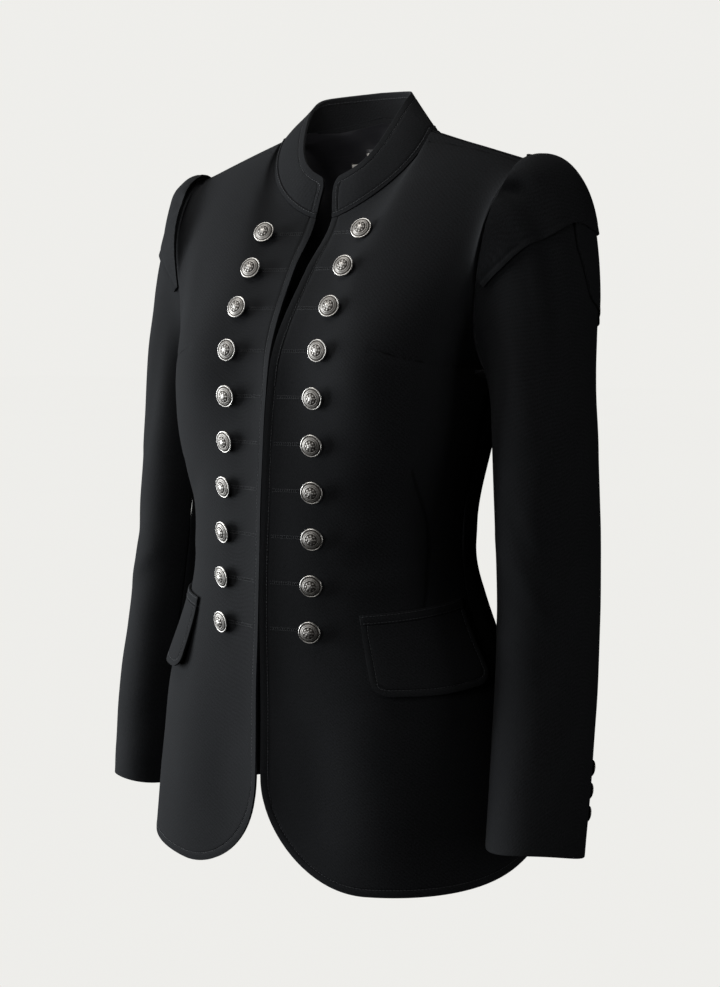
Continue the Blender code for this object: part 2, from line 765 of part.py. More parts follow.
def collar_turns():
    front = front_neck_turn(front_shares()[front_shares() <= FRONT_NECK_SHARE])
    back = back_neck_turn(back_shares()[back_shares() < BACK_NECK_SHARE])[::-1]
    rounding = [front[1] * 0.15, front[1] * 0.5]
    return np.concatenate([front[:1], rounding, front[1:], back])


def collar_surface(turn, rise):
    """The stand collar between its neck seam, 0, and its top edge, 1."""
    foot = neckline(turn)
    top = collar_top(turn)
    bow = np.sin(math.pi * rise)[..., None] * COLLAR_BOW
    way = unit(np.stack([np.sin(np.radians(turn)), -np.cos(np.radians(turn)), 0 * turn], -1))
    return foot + (top - foot) * rise[..., None] + way * bow


def make_collar():
    """One band from the wearer's right front end round the nape to the left front end."""
    turns = collar_turns()
    end_turn = turns[3]
    lean = np.clip(1 - turns / end_turn, 0, 1)
    most = 1 - COLLAR_CORNER / COLLAR_HEIGHT * (1 - np.sqrt(1 - lean**2))
    steps = np.array([0.0, 0.28, 0.55, 0.8, 1.0])
    across = np.broadcast_to(turns, (len(steps), len(turns)))
    rise = SEAM_GAP / COLLAR_HEIGHT + (most - SEAM_GAP / COLLAR_HEIGHT) * steps[:, None]
    points = collar_surface(across, rise)
    normals = surface_normals(collar_surface, across, rise, 180.0)
    normals[:, -1, 0] = 0
    normals[:, -1] = unit(normals[:, -1])
    points = np.concatenate([points * MIRROR, points[:, -2::-1]], axis=1)
    normals = np.concatenate([normals * MIRROR, normals[:, -2::-1]], axis=1)
    wall("collar", points, normals, -COLLAR_CLOTH, 0.0, middle=len(turns) - 1)


def sleeve_turns():
    """Turns of the sleeve's columns, closer together at the pleats."""
    holes = set(FRONT_HOLE_TURNS) | set(BACK_HOLE_TURNS)
    pleat_turns = {-56, -50, -36, -30, -11, 10, 29, 34, 43, 49, 68, 92}
    return np.array(sorted((holes | pleat_turns) - {-180}), float)


def sleeve_rows(side):
    """Shares of every column: down the head layer, down the tuck layer, then to the cuff."""
    turns = sleeve_turns()
    turns = np.concatenate([turns[turns >= HIND_SEAM], turns[turns <= HIND_SEAM] + 360])
    wrapped = (turns + 180) % 360 - 180
    head = np.maximum(sleeve_share_at(side, turns, head_edge(wrapped)), LEAST_HEAD)
    tuck = np.maximum(sleeve_share_at(side, turns, tuck_edge(wrapped)), head + LEAST_TUCK)
    head_steps = np.array([0.0, 0.12, 0.3, 0.52, 0.76, 1.0])[:, None]
    tuck_steps = np.array([0.5, 1.0])[:, None]
    arm_steps = np.array([0.09, 0.2, 0.33, 0.46, 0.6, 0.74, 0.88, 1.0])[:, None]
    shares = np.concatenate(
        [head * head_steps, head + (tuck - head) * tuck_steps, tuck + (1 - tuck) * arm_steps]
    )
    return turns, shares, len(head_steps), len(head_steps) + len(tuck_steps)


def make_sleeve(side):
    """A two-piece sleeve, with the two layers of its pleated head laid over its cap."""
    mirrored = side == "right"
    turns, shares, head_rows, tuck_rows = sleeve_rows(side)
    across = np.broadcast_to(turns, shares.shape)
    surface = sleeve_surface(side)
    points = surface(across, shares)
    normals = sleeve_normals(surface, across, shares)
    for name, chosen in (
        ("sleeve_top_", turns <= FORE_SEAM),
        ("sleeve_under_", turns >= FORE_SEAM),
    ):
        piece = points[:, chosen].copy()
        pull_in(piece, "first", SLEEVE_GAP / 2)
        pull_in(piece, "last", SLEEVE_GAP / 2)
        wall(name + side, piece, normals[:, chosen], -CLOTH, 0.0, mirrored)
    ring = turns < 360 + HIND_SEAM
    wrapped = (turns + 180) % 360 - 180
    order = np.argsort(wrapped[ring])
    ordered = wrapped[ring][order]
    points, normals = points[:, ring][:, order], normals[:, ring][:, order]
    for name, ends, rows, over in (
        ("sleeve_tuck_", TUCK_TURNS, tuck_rows, 0.0),
        ("sleeve_head_", HEAD_TURNS, head_rows, 1.0),
    ):
        chosen = (ordered >= ends[0]) & (ordered <= ends[1])
        on_tuck = 1 - ease(TUCK_TURNS[1] + 8, TUCK_TURNS[1] + 28, ordered[chosen])
        lift = LAYER_GAP + over * on_tuck * (LAYER_GAP + LAYER_CLOTH)
        flare = HEAD_FLARE * np.linspace(0, 1, rows)[:, None] ** 2
        inner = lift + flare * (0.3 + 0.7 * over)
        layer, facing = points[:rows][:, chosen], normals[:rows][:, chosen].copy()
        facing[0, :, 0] = np.maximum(facing[0, :, 0], 0)
        facing[0] = unit(facing[0])
        wall(name + side, layer, facing, inner, inner + LAYER_CLOTH, mirrored)


def pocket_shares(steps):
    """Shares of the front at even lengths along the pocket."""
    dense = np.linspace(POCKET_FRONT, POCKET_SIDE, 200)
    line = front_section(dense, np.full(200, WELT_TOP))
    length = np.concatenate([[0], np.cumsum(np.linalg.norm(np.diff(line, axis=0), axis=-1))])
    return np.interp(np.asarray(steps) * length[-1], length, dense), length[-1]


def on_front(across, heights):
    """Points on the faces of the left front, with the facing of its smooth shape."""
    along = front_along(across, heights)
    points = front_surface(across, along)
    tree = surface_tree("front_left")
    for place in np.ndindex(points.shape[:-1]):
        points[place] = tree.find_nearest(Vector(points[place]))[0]
    return points, surface_normals(front_surface, across, along, 1.0)


def make_pockets():
    """A narrow welt with a rounded flap that flares off the body below it."""
    steps = np.linspace(0, 1, 11)
    shares, _ = pocket_shares(steps)
    heights = np.array([WELT_TOP - WELT_HEIGHT, WELT_TOP])[:, None] + POCKET_RISE * steps
    across = np.broadcast_to(shares, heights.shape)
    points, normals = on_front(across, heights)
    both_sides("pocket_welt", points, normals, POCKET_GAP, POCKET_GAP + POCKET_CLOTH)
    steps = np.array([0, 0.02, 0.06, 0.125, 0.25, 0.375, 0.5, 0.625, 0.75, 0.875, 0.94, 0.98, 1])
    shares, length = pocket_shares(steps)
    corner = FLAP_CORNER / length
    lean = np.clip(1 - np.minimum(steps, 1 - steps) / corner, 0, 1)
    most = 1 - FLAP_CORNER / FLAP_HEIGHT * (1 - np.sqrt(1 - lean**2))
    drop = most * np.array([1.0, 0.78, 0.54, 0.28, 0.0])[:, None]
    top = WELT_TOP - WELT_HEIGHT - SEAM_GAP + POCKET_RISE * steps
    across = np.broadcast_to(shares, drop.shape)
    points, normals = on_front(across, top - FLAP_HEIGHT * drop)
    slant = FLAP_SLANT * drop * (1 - ease(0, 0.6, steps))
    points += slant[..., None] * unit(points[:, :1] - points[:, 1:2])
    inner = POCKET_GAP + FLAP_FLARE * drop**1.4
    both_sides("pocket_flap", points, normals, inner, inner + POCKET_CLOTH)


def button_mesh():
    """Half of the button's outline, which a Screw modifier turns into a solid."""
    mesh = bpy.data.meshes.new("button_outline")
    corners = [(place.radius, 0, place.height) for place in BUTTON_PROFILE]
    edges = [(i, i + 1) for i in range(len(corners) - 1)]
    mesh.from_pydata(corners, edges, [])
    return mesh


def place_button(name, mesh, place, normal, droop, turn_out, scale):
    """A button on its shank, its face turned a little down and away from the middle."""
    part = new_part(name, mesh.copy(), METAL_COLOUR, 0.35, 1.0)
    for corner in part.data.vertices:
        corner.co *= scale
    screw = part.modifiers.new("turn", "SCREW")
    screw.steps = BUTTON_STEPS
    screw.render_steps = BUTTON_STEPS
    screw.use_merge_vertices = True
    screw.merge_threshold = 0.00002
    tilt = math.radians(droop)
    aside = [math.copysign(math.tan(math.radians(turn_out)), place[0]), 0, 0]
    level = unit(unit(normal * [1, 1, 0]) + aside)
    pitch = math.asin(normal[2]) - tilt
    facing = level * math.cos(pitch) + np.array([0, 0, math.sin(pitch)])
    part.rotation_mode = "XYZ"
    part.rotation_euler = (0, math.acos(facing[2]), math.atan2(facing[1], facing[0]))
    part.location = place + normal * (SEAM_GAP + 0.003 * scale * math.sin(tilt))


def make_front_buttons():
    """Two rows of buttons at an even pitch along the fronts."""
    mesh = button_mesh()
    tree = surface_tree("front_left")
    heights = np.linspace(BUTTON_TOP_Z, BUTTON_TOP_Z - 0.40, 60)
    line = [cast(tree, (button_x(z), -1, z), (0, 1, 0))[0] for z in heights]
    run = np.concatenate([[0], np.cumsum(np.linalg.norm(np.diff(line, axis=0), axis=-1))])
    for number in range(FRONT_BUTTONS):
        z = np.interp(number * BUTTON_PITCH, run, heights)
        place, normal = cast(tree, (button_x(z), -1, z), (0, 1, 0))
        for side, mirror in (("left", 1), ("right", MIRROR)):
            name = f"button_{side}_{number + 1:02d}"
            spot, facing = place * mirror, normal * mirror
            place_button(name, mesh, spot, facing, BUTTON_DROOP, BUTTON_TURN_OUT, 1.0)


def make_cuff_buttons(side):
    """Three small buttons beside the hind seam, above the cuff's edge."""
    mesh = button_mesh()
    tree = surface_tree("sleeve_under_" + side)
    mirror = MIRROR if side == "right" else 1
    for number in range(CUFF_BUTTONS):
        height = CUFF_Z[side] + CUFF_BUTTON_RISE + number * CUFF_BUTTON_PITCH
        share = sleeve_share_at(side, [CUFF_BUTTON_TURN], [height])
        outside = sleeve_surface(side)(np.array([CUFF_BUTTON_TURN]), share)[0] * mirror
        place, normal, _, _ = tree.find_nearest(Vector(outside))
        name = f"cuff_button_{side}_{number + 1}"
        place_button(name, mesh, np.array(place), np.array(normal), 0.0, 0.0, CUFF_BUTTON_SCALE)


for old in list(bpy.data.objects):
    bpy.data.objects.remove(old, do_unlink=True)
jacket = bpy.data.collections.new("jacket")
bpy.context.scene.collection.children.link(jacket)

make_fronts()
make_backs()
make_sleeve("left")
make_sleeve("right")
make_collar()
make_pockets()
make_inside_trim()
make_front_buttons()
make_cuff_buttons("left")
make_cuff_buttons("right")
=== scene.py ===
import math

import bpy
import numpy as np
from mathutils import Matrix, Vector
from mathutils.bvhtree import BVHTree


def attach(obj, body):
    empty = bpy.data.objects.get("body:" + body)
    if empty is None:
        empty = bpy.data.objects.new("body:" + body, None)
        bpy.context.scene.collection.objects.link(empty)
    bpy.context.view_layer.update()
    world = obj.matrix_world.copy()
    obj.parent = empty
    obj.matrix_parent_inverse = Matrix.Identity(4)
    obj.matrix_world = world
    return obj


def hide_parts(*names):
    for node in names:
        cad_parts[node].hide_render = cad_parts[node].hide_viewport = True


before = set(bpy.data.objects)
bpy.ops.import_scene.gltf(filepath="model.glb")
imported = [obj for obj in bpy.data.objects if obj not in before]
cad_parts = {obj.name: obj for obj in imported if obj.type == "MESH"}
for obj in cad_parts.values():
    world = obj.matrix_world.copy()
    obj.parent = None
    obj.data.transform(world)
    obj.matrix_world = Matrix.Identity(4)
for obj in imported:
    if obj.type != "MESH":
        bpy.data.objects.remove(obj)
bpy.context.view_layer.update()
print("frame loaded", len(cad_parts), "nodes")


# Numbers shared by the pieces, in metres

cloth = {
    "body": 0.0020,
    "collar": 0.0026,
    "layer": 0.0018,
    "lining": 0.0010,
    "pocket": 0.0022,
    "label": 0.0008,
}
gap = {"seam": 0.0003, "sleeve": 0.0005, "layer": 0.0004, "label": 0.0008, "pocket": 0.0006}
mirror = np.array([-1.0, 1.0, 1.0])
flips = {"left": np.ones(3), "right": mirror}
stitchInset = 0.0068


# Small helpers for shapes

def spline(knots, values):
    # natural cubic through a short table
    knots = np.asarray(knots, float)
    values = np.asarray(values, float)
    order = np.argsort(knots)
    knots, values = knots[order], values[order]
    last = len(knots) - 1
    step = np.diff(knots)
    slope = np.diff(values) / step
    matrix = np.eye(last + 1)
    right = np.zeros(last + 1)
    for i in range(1, last):
        matrix[i, i - 1 : i + 2] = step[i - 1], 2 * (step[i - 1] + step[i]), step[i]
        right[i] = 6 * (slope[i] - slope[i - 1])
    bend = np.linalg.solve(matrix, right)

    def at(place):
        place = np.clip(np.asarray(place, float), knots[0], knots[-1])
        i = np.clip(np.searchsorted(knots, place) - 1, 0, last - 1)
        width = step[i]
        b = (place - knots[i]) / width
        a = 1 - b
        curve = ((a**3 - a) * bend[i] + (b**3 - b) * bend[i + 1]) * width**2 / 6
        return a * values[i] + b * values[i + 1] + curve

    return at


def splines(table, knots):
    return {key: spline(table[knots], table[key]) for key in table if key != knots}


def ease(start, end, value):
    share = np.clip((np.asarray(value, float) - start) / (end - start), 0, 1)
    return share * share * (3 - 2 * share)


def bell(value, middle, width):
    return np.exp(-(((value - middle) / width) ** 2))


def unit(vectors):
    return vectors / np.maximum(np.linalg.norm(vectors, axis=-1, keepdims=True), 1e-12)


def hermite(share, start, startWay, end, endWay):
    share = share[..., None]
    square, cube = share**2, share**3
    curve = (2 * cube - 3 * square + 1) * start + (3 * square - 2 * cube) * end
    return curve + (cube - 2 * square + share) * startWay + (cube - square) * endWay


def gridNormals(points, inside):
    # normals of a grid of points, turned away from the points called inside
    across = np.gradient(points, axis=1)
    up = np.gradient(points, axis=0)
    normals = unit(np.cross(across, up))
    side = np.sign(np.sum(normals * (points - inside), axis=-1).mean())
    return normals * side


def lineDistance(points, line):
    # distance of every point from a polyline of many close points
    flat = points.reshape(-1, 3)
    found = np.empty(len(flat))
    square = (line**2).sum(-1)
    for start in range(0, len(flat), 4000):
        part = flat[start : start + 4000]
        away = (part**2).sum(-1)[:, None] + square - 2 * part @ line.T
        found[start : start + 4000] = np.sqrt(np.maximum(away.min(-1), 0))
    return found.reshape(points.shape[:-1])


def runAlong(line):
    # the length of a polyline up to each of its points
    return np.concatenate([[0], np.cumsum(np.linalg.norm(np.diff(line, axis=0), axis=-1))])


def closer(line, spacing=0.0004):
    # a polyline with points added until they are close together
    run = runAlong(line)
    places = np.linspace(0, run[-1], max(int(run[-1] / spacing), 2))
    return np.stack([np.interp(places, run, line[:, axis]) for axis in range(3)], -1)


def evenShares(curve, start, end, count, samples=400):
    # shares that cut the curve into even lengths
    dense = np.linspace(start, end, samples)
    run = runAlong(curve(dense))
    return np.interp(np.linspace(0, run[-1], count + 1), run, dense)


# Shader maths: a wire is a socket that adds Math nodes when it stands in an expression

class Wire:
    def __init__(self, shader, socket):
        self.shader = shader
        self.socket = socket

    def maths(self, operation, *values):
        return self.shader.add("Math", {"operation": operation}, dict(enumerate(values)))

    def __add__(self, other):
        return self.maths("ADD", self, other)

    def __sub__(self, other):
        return self.maths("SUBTRACT", self, other)

    def __rsub__(self, other):
        return self.maths("SUBTRACT", other, self)

    def __mul__(self, other):
        return self.maths("MULTIPLY", self, other)

    def __truediv__(self, other):
        return self.maths("DIVIDE", self, other)

    __radd__ = __add__
    __rmul__ = __mul__

    def bell(self, middle, width):
        away = (self - middle) / width
        return self.maths("EXPONENT", away * away * -1)

    def sine(self):
        return self.maths("SINE", self)

    def clamped(self, low, high):
        return self.maths("MINIMUM", self.maths("MAXIMUM", self, low), high)


class Shader:
    def __init__(self, name, fixed):
        self.material = bpy.data.materials.new(name)
        self.material.use_nodes = True
        self.tree = self.material.node_tree
        self.finish = self.tree.nodes["Principled BSDF"]
        for socket, value in fixed.items():
            self.finish.inputs[socket].default_value = value

    def add(self, kind, settings=None, sockets=None, output=0):
        made = self.tree.nodes.new("ShaderNode" + kind)
        for key, value in (settings or {}).items():
            setattr(made, key, value)
        for key, value in (sockets or {}).items():
            self.join(value, made.inputs[key])
        return Wire(self, made.outputs[output])

    def join(self, value, socket):
        if isinstance(value, Wire):
            self.tree.links.new(value.socket, socket)
        elif isinstance(value, tuple) and len(value) == 3 and socket.type == "RGBA":
            socket.default_value = (*value, 1)
        else:
            socket.default_value = value

    def attribute(self, name):
        return self.add("Attribute", {"attribute_name": name}, output="Fac")

    def uv(self, scale):
        found = self.add("UVMap", {"uv_map": "cloth"})
        return self.add("Mapping", {}, {"Vector": found, "Scale": scale})

    def place(self, scale=(1, 1, 1)):
        found = self.add("TexCoord", {}, output="Object")
        return self.add("Mapping", {}, {"Vector": found, "Scale": scale})

    def noise(self, vector, scale, detail=2.0, roughness=0.5):
        sockets = {"Vector": vector, "Scale": scale, "Detail": detail, "Roughness": roughness}
        return self.add("TexNoise", {}, sockets)

    def parts(self, vector):
        split = self.add("SeparateXYZ", {}, {"Vector": vector}, "X")
        node = split.socket.node
        return [Wire(self, node.outputs[axis]) for axis in ("X", "Y", "Z")]

    def mix(self, share, first, second):
        # a Mix node's colours are its sockets 6 and 7, and its mixed colour is output 2
        return self.add("Mix", {"data_type": "RGBA"}, {0: share, 6: first, 7: second}, 2)

    def bump(self, height, strength, distance, below=None):
        sockets = {"Height": height, "Strength": strength, "Distance": distance}
        if below is not None:
            sockets["Normal"] = below
        return self.add("Bump", {}, sockets)

    def finishWith(self, **links):
        for name, value in links.items():
            self.join(value, self.finish.inputs[name.replace("_", " ")])
        return self.material


# Materials

twill = {
    "rib": 1500.0,
    "fuzzScale": 620.0,
    "fineScale": 1500.0,
    "cloudScale": 9.0,
    "dark": (0.0046, 0.0048, 0.0052),
    "light": (0.0158, 0.0166, 0.0183),
    "groove": 0.55,
}


def twillCloth(name):
    fixed = {"Specular IOR Level": 0.07, "Sheen Weight": 0.015, "Sheen Roughness": 0.5}
    shader = Shader(name, fixed)
    flat = shader.uv((1, 1, 1))
    across, along, _ = shader.parts(flat)
    ribs = ((across + along * 1.15) * twill["rib"]).sine()
    threads = ((across * -0.7 + along) * (twill["rib"] * 1.35)).sine()
    fuzz = shader.noise(flat, twill["fuzzScale"], 2.0, 0.6)
    fine = shader.noise(flat, twill["fineScale"], 1.0, 0.5)
    cloud = shader.noise(flat, twill["cloudScale"], 3.0, 0.55)
    edge = shader.attribute("edge")
    groove = edge.bell(stitchInset * 1000, 0.55) * twill["groove"]
    # painted highlight: the tone is made lighter along the cloth's edges, where they catch the light
    edgeHighlight = edge.bell(0.0, 0.8)
    dart = shader.attribute("dart").bell(0.0, 0.85)
    grain = (fuzz - 0.5) * 1.5 + (fine - 0.5) * 1.6 + ribs * 0.09
    # painted shade: the tone is also darkened in the topstitch groove and along the darts and seam lines, where
    # shade falls
    tone = grain + (cloud - 0.5) * 0.5 + 0.5 + edgeHighlight * 0.30 - groove * 0.4 - dart * 0.7
    colour = shader.mix(tone.clamped(0, 1), twill["dark"], twill["light"])
    weave = ribs * 0.3 + threads * 0.2 + (fuzz - 0.5) * 2.0 + (fine - 0.5) * 2.0
    woven = shader.bump(weave, 0.35, 0.00016)
    sewn = shader.bump((groove + dart * 0.9) * -1.0, 0.9, 0.0006, woven)
    rough = (0.86 + (fuzz - 0.5) * 0.16).clamped(0.6, 1)
    return shader.finishWith(Base_Color=colour, Roughness=rough, Normal=sewn)


def satinLining(name):
    shader = Shader(name, {"Specular IOR Level": 0.35, "Sheen Weight": 0.04})
    flat = shader.uv((1, 1, 1))
    across, along, _ = shader.parts(flat)
    warp = (across * 5200.0).sine()
    weft = (along * 2600.0).sine()
    slub = shader.noise(shader.uv((30, 900, 1)), 1.0, 2.0)
    cloud = shader.noise(flat, 14.0, 3.0)
    tone = (slub - 0.5) * 0.8 + (cloud - 0.5) * 0.8 + 0.5
    colour = shader.mix(tone.clamped(0, 1), (0.010, 0.010, 0.012), (0.026, 0.026, 0.030))
    fine = shader.bump(warp * 0.4 + weft * 0.3 + slub, 0.12, 0.00008)
    rough = (0.36 + (slub - 0.5) * 0.16).clamped(0.2, 0.7)
    return shader.finishWith(Base_Color=colour, Roughness=rough, Normal=fine)


def sewingThread(name):
    shader = Shader(name, {"Specular IOR Level": 0.4})
    spot = shader.place()
    twist = shader.noise(spot, 2500.0, 1.0)
    colour = shader.mix(twist, (0.016, 0.017, 0.019), (0.040, 0.042, 0.046))
    fine = shader.bump(twist, 0.4, 0.0001)
    rough = (0.45 + twist * 0.2).clamped(0.3, 0.8)
    return shader.finishWith(Base_Color=colour, Roughness=rough, Normal=fine)


def paleTape(name):
    shader = Shader(name, {"Specular IOR Level": 0.3})
    flat = shader.uv((1, 1, 1))
    across, along, _ = shader.parts(flat)
    weave = (across * 4200.0).sine() * (along * 4200.0).sine()
    cloud = shader.noise(flat, 60.0, 3.0)
    tone = (cloud - 0.5) * 1.1 + weave * 0.12 + 0.5
    colour = shader.mix(tone.clamped(0, 1), (0.60, 0.575, 0.53), (0.80, 0.78, 0.74))
    fine = shader.bump(weave, 0.3, 0.0001)
    rough = (0.7 + cloud * 0.15).clamped(0.5, 0.95)
    return shader.finishWith(Base_Color=colour, Roughness=rough, Normal=fine)


def antiqueSilver(name):
    shader = Shader(name, {"Metallic": 1.0})
    spot = shader.place()
    grain = shader.noise(spot, 1400.0, 3.0)
    cloud = shader.noise(spot, 130.0, 3.0)
    hollow = shader.attribute("hollow")
    dirt = (hollow * 1.05 + (cloud - 0.5) * 0.5).clamped(0, 1)
    colour = shader.mix(dirt, (0.56, 0.54, 0.51), (0.070, 0.062, 0.055))
    rough = (0.40 + dirt * 0.25 + (grain - 0.5) * 0.20).clamped(0.25, 0.8)
    fine = shader.bump(grain, 0.10, 0.0001)
    return shader.finishWith(Base_Color=colour, Roughness=rough, Normal=fine)


blackTwill = twillCloth("black_twill")
darkSatin = satinLining("dark_satin")
blackThread = sewingThread("black_thread")
labelTape = paleTape("label_tape")
buttonSilver = antiqueSilver("antique_silver")
linedTwill = [blackTwill, darkSatin]
print("materials made")


# Making a cloth piece: a grid primitive whose points are placed, then given a thickness

def deselect():
    for piece in bpy.context.selected_objects:
        piece.select_set(False)


farFromSewing = 99.0


def clothPiece(name, points, normals, thickness, materials, roll=0.0005, **sewn):
    # edge and dart are distances from the sewing in millimetres, which the twill reads for its painted highlight
    # along edges and its painted shade in grooves, darts and seams
    rows, columns = points.shape[:2]
    attributes = {key: np.full((rows, columns), farFromSewing) for key in ("edge", "dart")}
    attributes.update(sewn)
    turned = np.sum(np.cross(np.gradient(points, axis=1), np.gradient(points, axis=0)) * normals) < 0
    if turned:
        points = points[:, ::-1]
        attributes = {key: value[:, ::-1] for key, value in attributes.items()}
    deselect()
    bpy.ops.mesh.primitive_grid_add(x_subdivisions=columns - 1, y_subdivisions=rows - 1, size=1)
    piece = bpy.context.active_object
    piece.name = name
    mesh = piece.data
    mesh.name = name
    start = np.empty(len(mesh.vertices) * 3)
    mesh.vertices.foreach_get("co", start)
    start = start.reshape(-1, 3)
    column = np.rint((start[:, 0] + 0.5) * (columns - 1)).astype(int)
    row = np.rint((start[:, 1] + 0.5) * (rows - 1)).astype(int)
    mesh.vertices.foreach_set("co", points[row, column].reshape(-1))
    width = np.linalg.norm(np.diff(points, axis=1), axis=-1)
    height = np.linalg.norm(np.diff(points, axis=0), axis=-1)
    u = np.zeros((rows, columns))
    u[:, 1:] = np.cumsum(width, axis=1)
    u -= u[:, columns // 2 : columns // 2 + 1]
    v = np.zeros((rows, columns))
    v[1:] = np.cumsum(height, axis=0)
    corners = np.empty(len(mesh.loops), int)
    mesh.loops.foreach_get("vertex_index", corners)
    layer = mesh.uv_layers[0]
    layer.name = "cloth"
    flat = np.stack([u[row, column], v[row, column]], -1)[corners]
    layer.data.foreach_set("uv", flat.reshape(-1))
    for key, value in attributes.items():
        stored = mesh.attributes.new(key, "FLOAT", "POINT")
        stored.data.foreach_set("value", value[row, column].astype(np.float32))
    for material in materials:
        mesh.materials.append(material)
    piece.location = (0, 0, 0)
    solid = piece.modifiers.new("thickness", "SOLIDIFY")
    solid.thickness = thickness
    solid.offset = -1
    solid.material_offset = len(materials) - 1
    bpy.ops.object.modifier_apply(modifier="thickness")
    if roll:
        rounded = piece.modifiers.new("roll", "BEVEL")
        rounded.width = roll
        rounded.segments = 2
        rounded.limit_method = "ANGLE"
        rounded.angle_limit = math.radians(55)
        bpy.ops.object.modifier_apply(modifier="roll")
    bpy.ops.object.shade_smooth_by_angle(angle=math.radians(48))
    upright = points[1:, :-1] - points[:-1, :-1]
    level = points[:-1, 1:] - points[:-1, :-1]
    area = float(np.linalg.norm(np.cross(upright, level), axis=-1).sum())
    piece["cut"] = (float(width.sum(axis=1).max()), float(height.sum(axis=0).max()), area)
    return piece


sheets = []
sewnOn = {}


def dress(piece, node, held=None, restsOn=()):
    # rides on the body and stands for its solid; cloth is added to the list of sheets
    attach(piece, "root")
    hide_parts(node)
    if held:
        sheets.append({"piece": piece, "held": held, "restsOn": list(restsOn)})


def sewOn(piece, panel):
    # a small piece that belongs to a panel, such as its stitches
    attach(piece, "root")
    sewnOn.setdefault(panel, []).append(piece)


def declareSheets():
    for sheet in sheets:
        piece = sheet["piece"]
        wide, long, area = piece["cut"]
        wide, long = max(wide, 0.01), max(long, 0.01)
        min(area, wide * long)


def treeOf(piece):
    mesh = piece.data
    corners = np.empty(len(mesh.vertices) * 3)
    mesh.vertices.foreach_get("co", corners)
    faces = [tuple(face.vertices) for face in mesh.polygons]
    return BVHTree.FromPolygons(corners.reshape(-1, 3).tolist(), faces)


def seenFromFront(tree, places):
    # where rays from the front meet a piece, for places given as x and z
    backward = Vector((0, 1, 0))
    return np.array([tree.ray_cast(Vector((x, -1, z)), backward)[0][:] for x, z in places])


# Modelling by hand: choosing faces, drawing them out and copying a finished piece

def chooseFaces(piece, chosen):
    bpy.ops.object.mode_set(mode="EDIT")
    bpy.ops.mesh.select_mode(type="FACE")
    bpy.ops.mesh.select_all(action="DESELECT")
    bpy.ops.object.mode_set(mode="OBJECT")
    for face in piece.data.polygons:
        face.select = chosen(face)
    bpy.ops.object.mode_set(mode="EDIT")


def drawOut(move, size):
    # extrudes the chosen faces and sizes them about the upright axis
    bpy.ops.mesh.extrude_region_move(TRANSFORM_OT_translate={"value": (0, 0, move)})
    bpy.ops.transform.resize(value=(size, size, 1), center_override=(0, 0, 0))


def evenNormals(piece):
    bpy.ops.object.mode_set(mode="EDIT")
    bpy.ops.mesh.select_all(action="SELECT")
    bpy.ops.mesh.normals_make_consistent(inside=False)
    bpy.ops.object.mode_set(mode="OBJECT")


# Sewn stitches: one short thread is modelled once and laid along a line

stitch = {"length": 0.0026, "pitch": 0.0031, "radius": 0.00023, "sides": 5, "rise": 0.00016}
fineStitch = {"radius": 0.00019, "rise": 0.00012}


def stitchModel():
    # a short thread along Z that thins at both ends; its corners and faces are all that is kept
    deselect()
    bpy.ops.mesh.primitive_cylinder_add(vertices=stitch["sides"], radius=1.0, depth=0.5)
    piece = bpy.context.active_object
    for end in (1, -1):
        chooseFaces(piece, lambda face: face.normal.z * end > 0.9)
        drawOut(end * 0.25, 0.45)
        bpy.ops.object.mode_set(mode="OBJECT")
    evenNormals(piece)
    corners = np.array([corner.co[:] for corner in piece.data.vertices])
    faces = [tuple(face.vertices) for face in piece.data.polygons]
    bpy.data.objects.remove(piece, do_unlink=True)
    return corners, faces


threadCorners, threadFaces = stitchModel()


def sewStitches(name, runs, panel, size=None):
    # runs are lists of (middle, along, out, length) for each stitch
    size = size or stitch
    wide, high, place = threadCorners.T
    bowed = high * size["radius"] + (1 - 7.2 * place**2) * size["rise"]
    corners, faces = [], []
    for middle, along, out, length in runs:
        side = np.cross(out, along)
        start = len(corners)
        laid = np.outer(place * length, along) + np.outer(wide * size["radius"], side) + np.outer(bowed, out)
        corners.extend((middle + laid).tolist())
        faces.extend(tuple(start + corner for corner in face) for face in threadFaces)
    mesh = bpy.data.meshes.new(name)
    mesh.from_pydata(corners, [], faces)
    mesh.materials.append(blackThread)
    piece = bpy.data.objects.new(name, mesh)
    bpy.context.scene.collection.objects.link(piece)
    deselect()
    piece.select_set(True)
    bpy.context.view_layer.objects.active = piece
    evenNormals(piece)
    bpy.ops.object.shade_smooth()
    sewOn(piece, panel)


def alongLine(tree, line, pitch=None, length=None, lift=0.00005):
    # stitches at an even pitch along a line, seated on the cloth
    pitch = pitch or stitch["pitch"]
    length = length or stitch["length"]
    run = runAlong(line)
    count = int(run[-1] / pitch)
    places = (np.arange(count) + 0.5) * run[-1] / max(count, 1)
    found = []
    for place in places:
        start, end = (
            np.array([np.interp(place + shift, run, line[:, axis]) for axis in range(3)])
            for shift in (-length / 2, length / 2)
        )
        spot, normal, _, _ = tree.find_nearest(Vector((start + end) / 2))
        out = np.array(normal)
        along = unit(end - start)
        along = unit(along - out * (along @ out))
        found.append((np.array(spot) + out * lift, along, out, length))
    return found


def insetLine(line, normals, toward, inset):
    # the line moved over the cloth, square to itself, towards the given points
    along = unit(np.gradient(line, axis=0))
    side = unit(np.cross(normals, along))
    side *= np.sign(np.sum(side * (toward - line), axis=-1, keepdims=True))
    return line + side * inset


# Body: the same sections as the solids, with the cloth's folds and sewn lines added

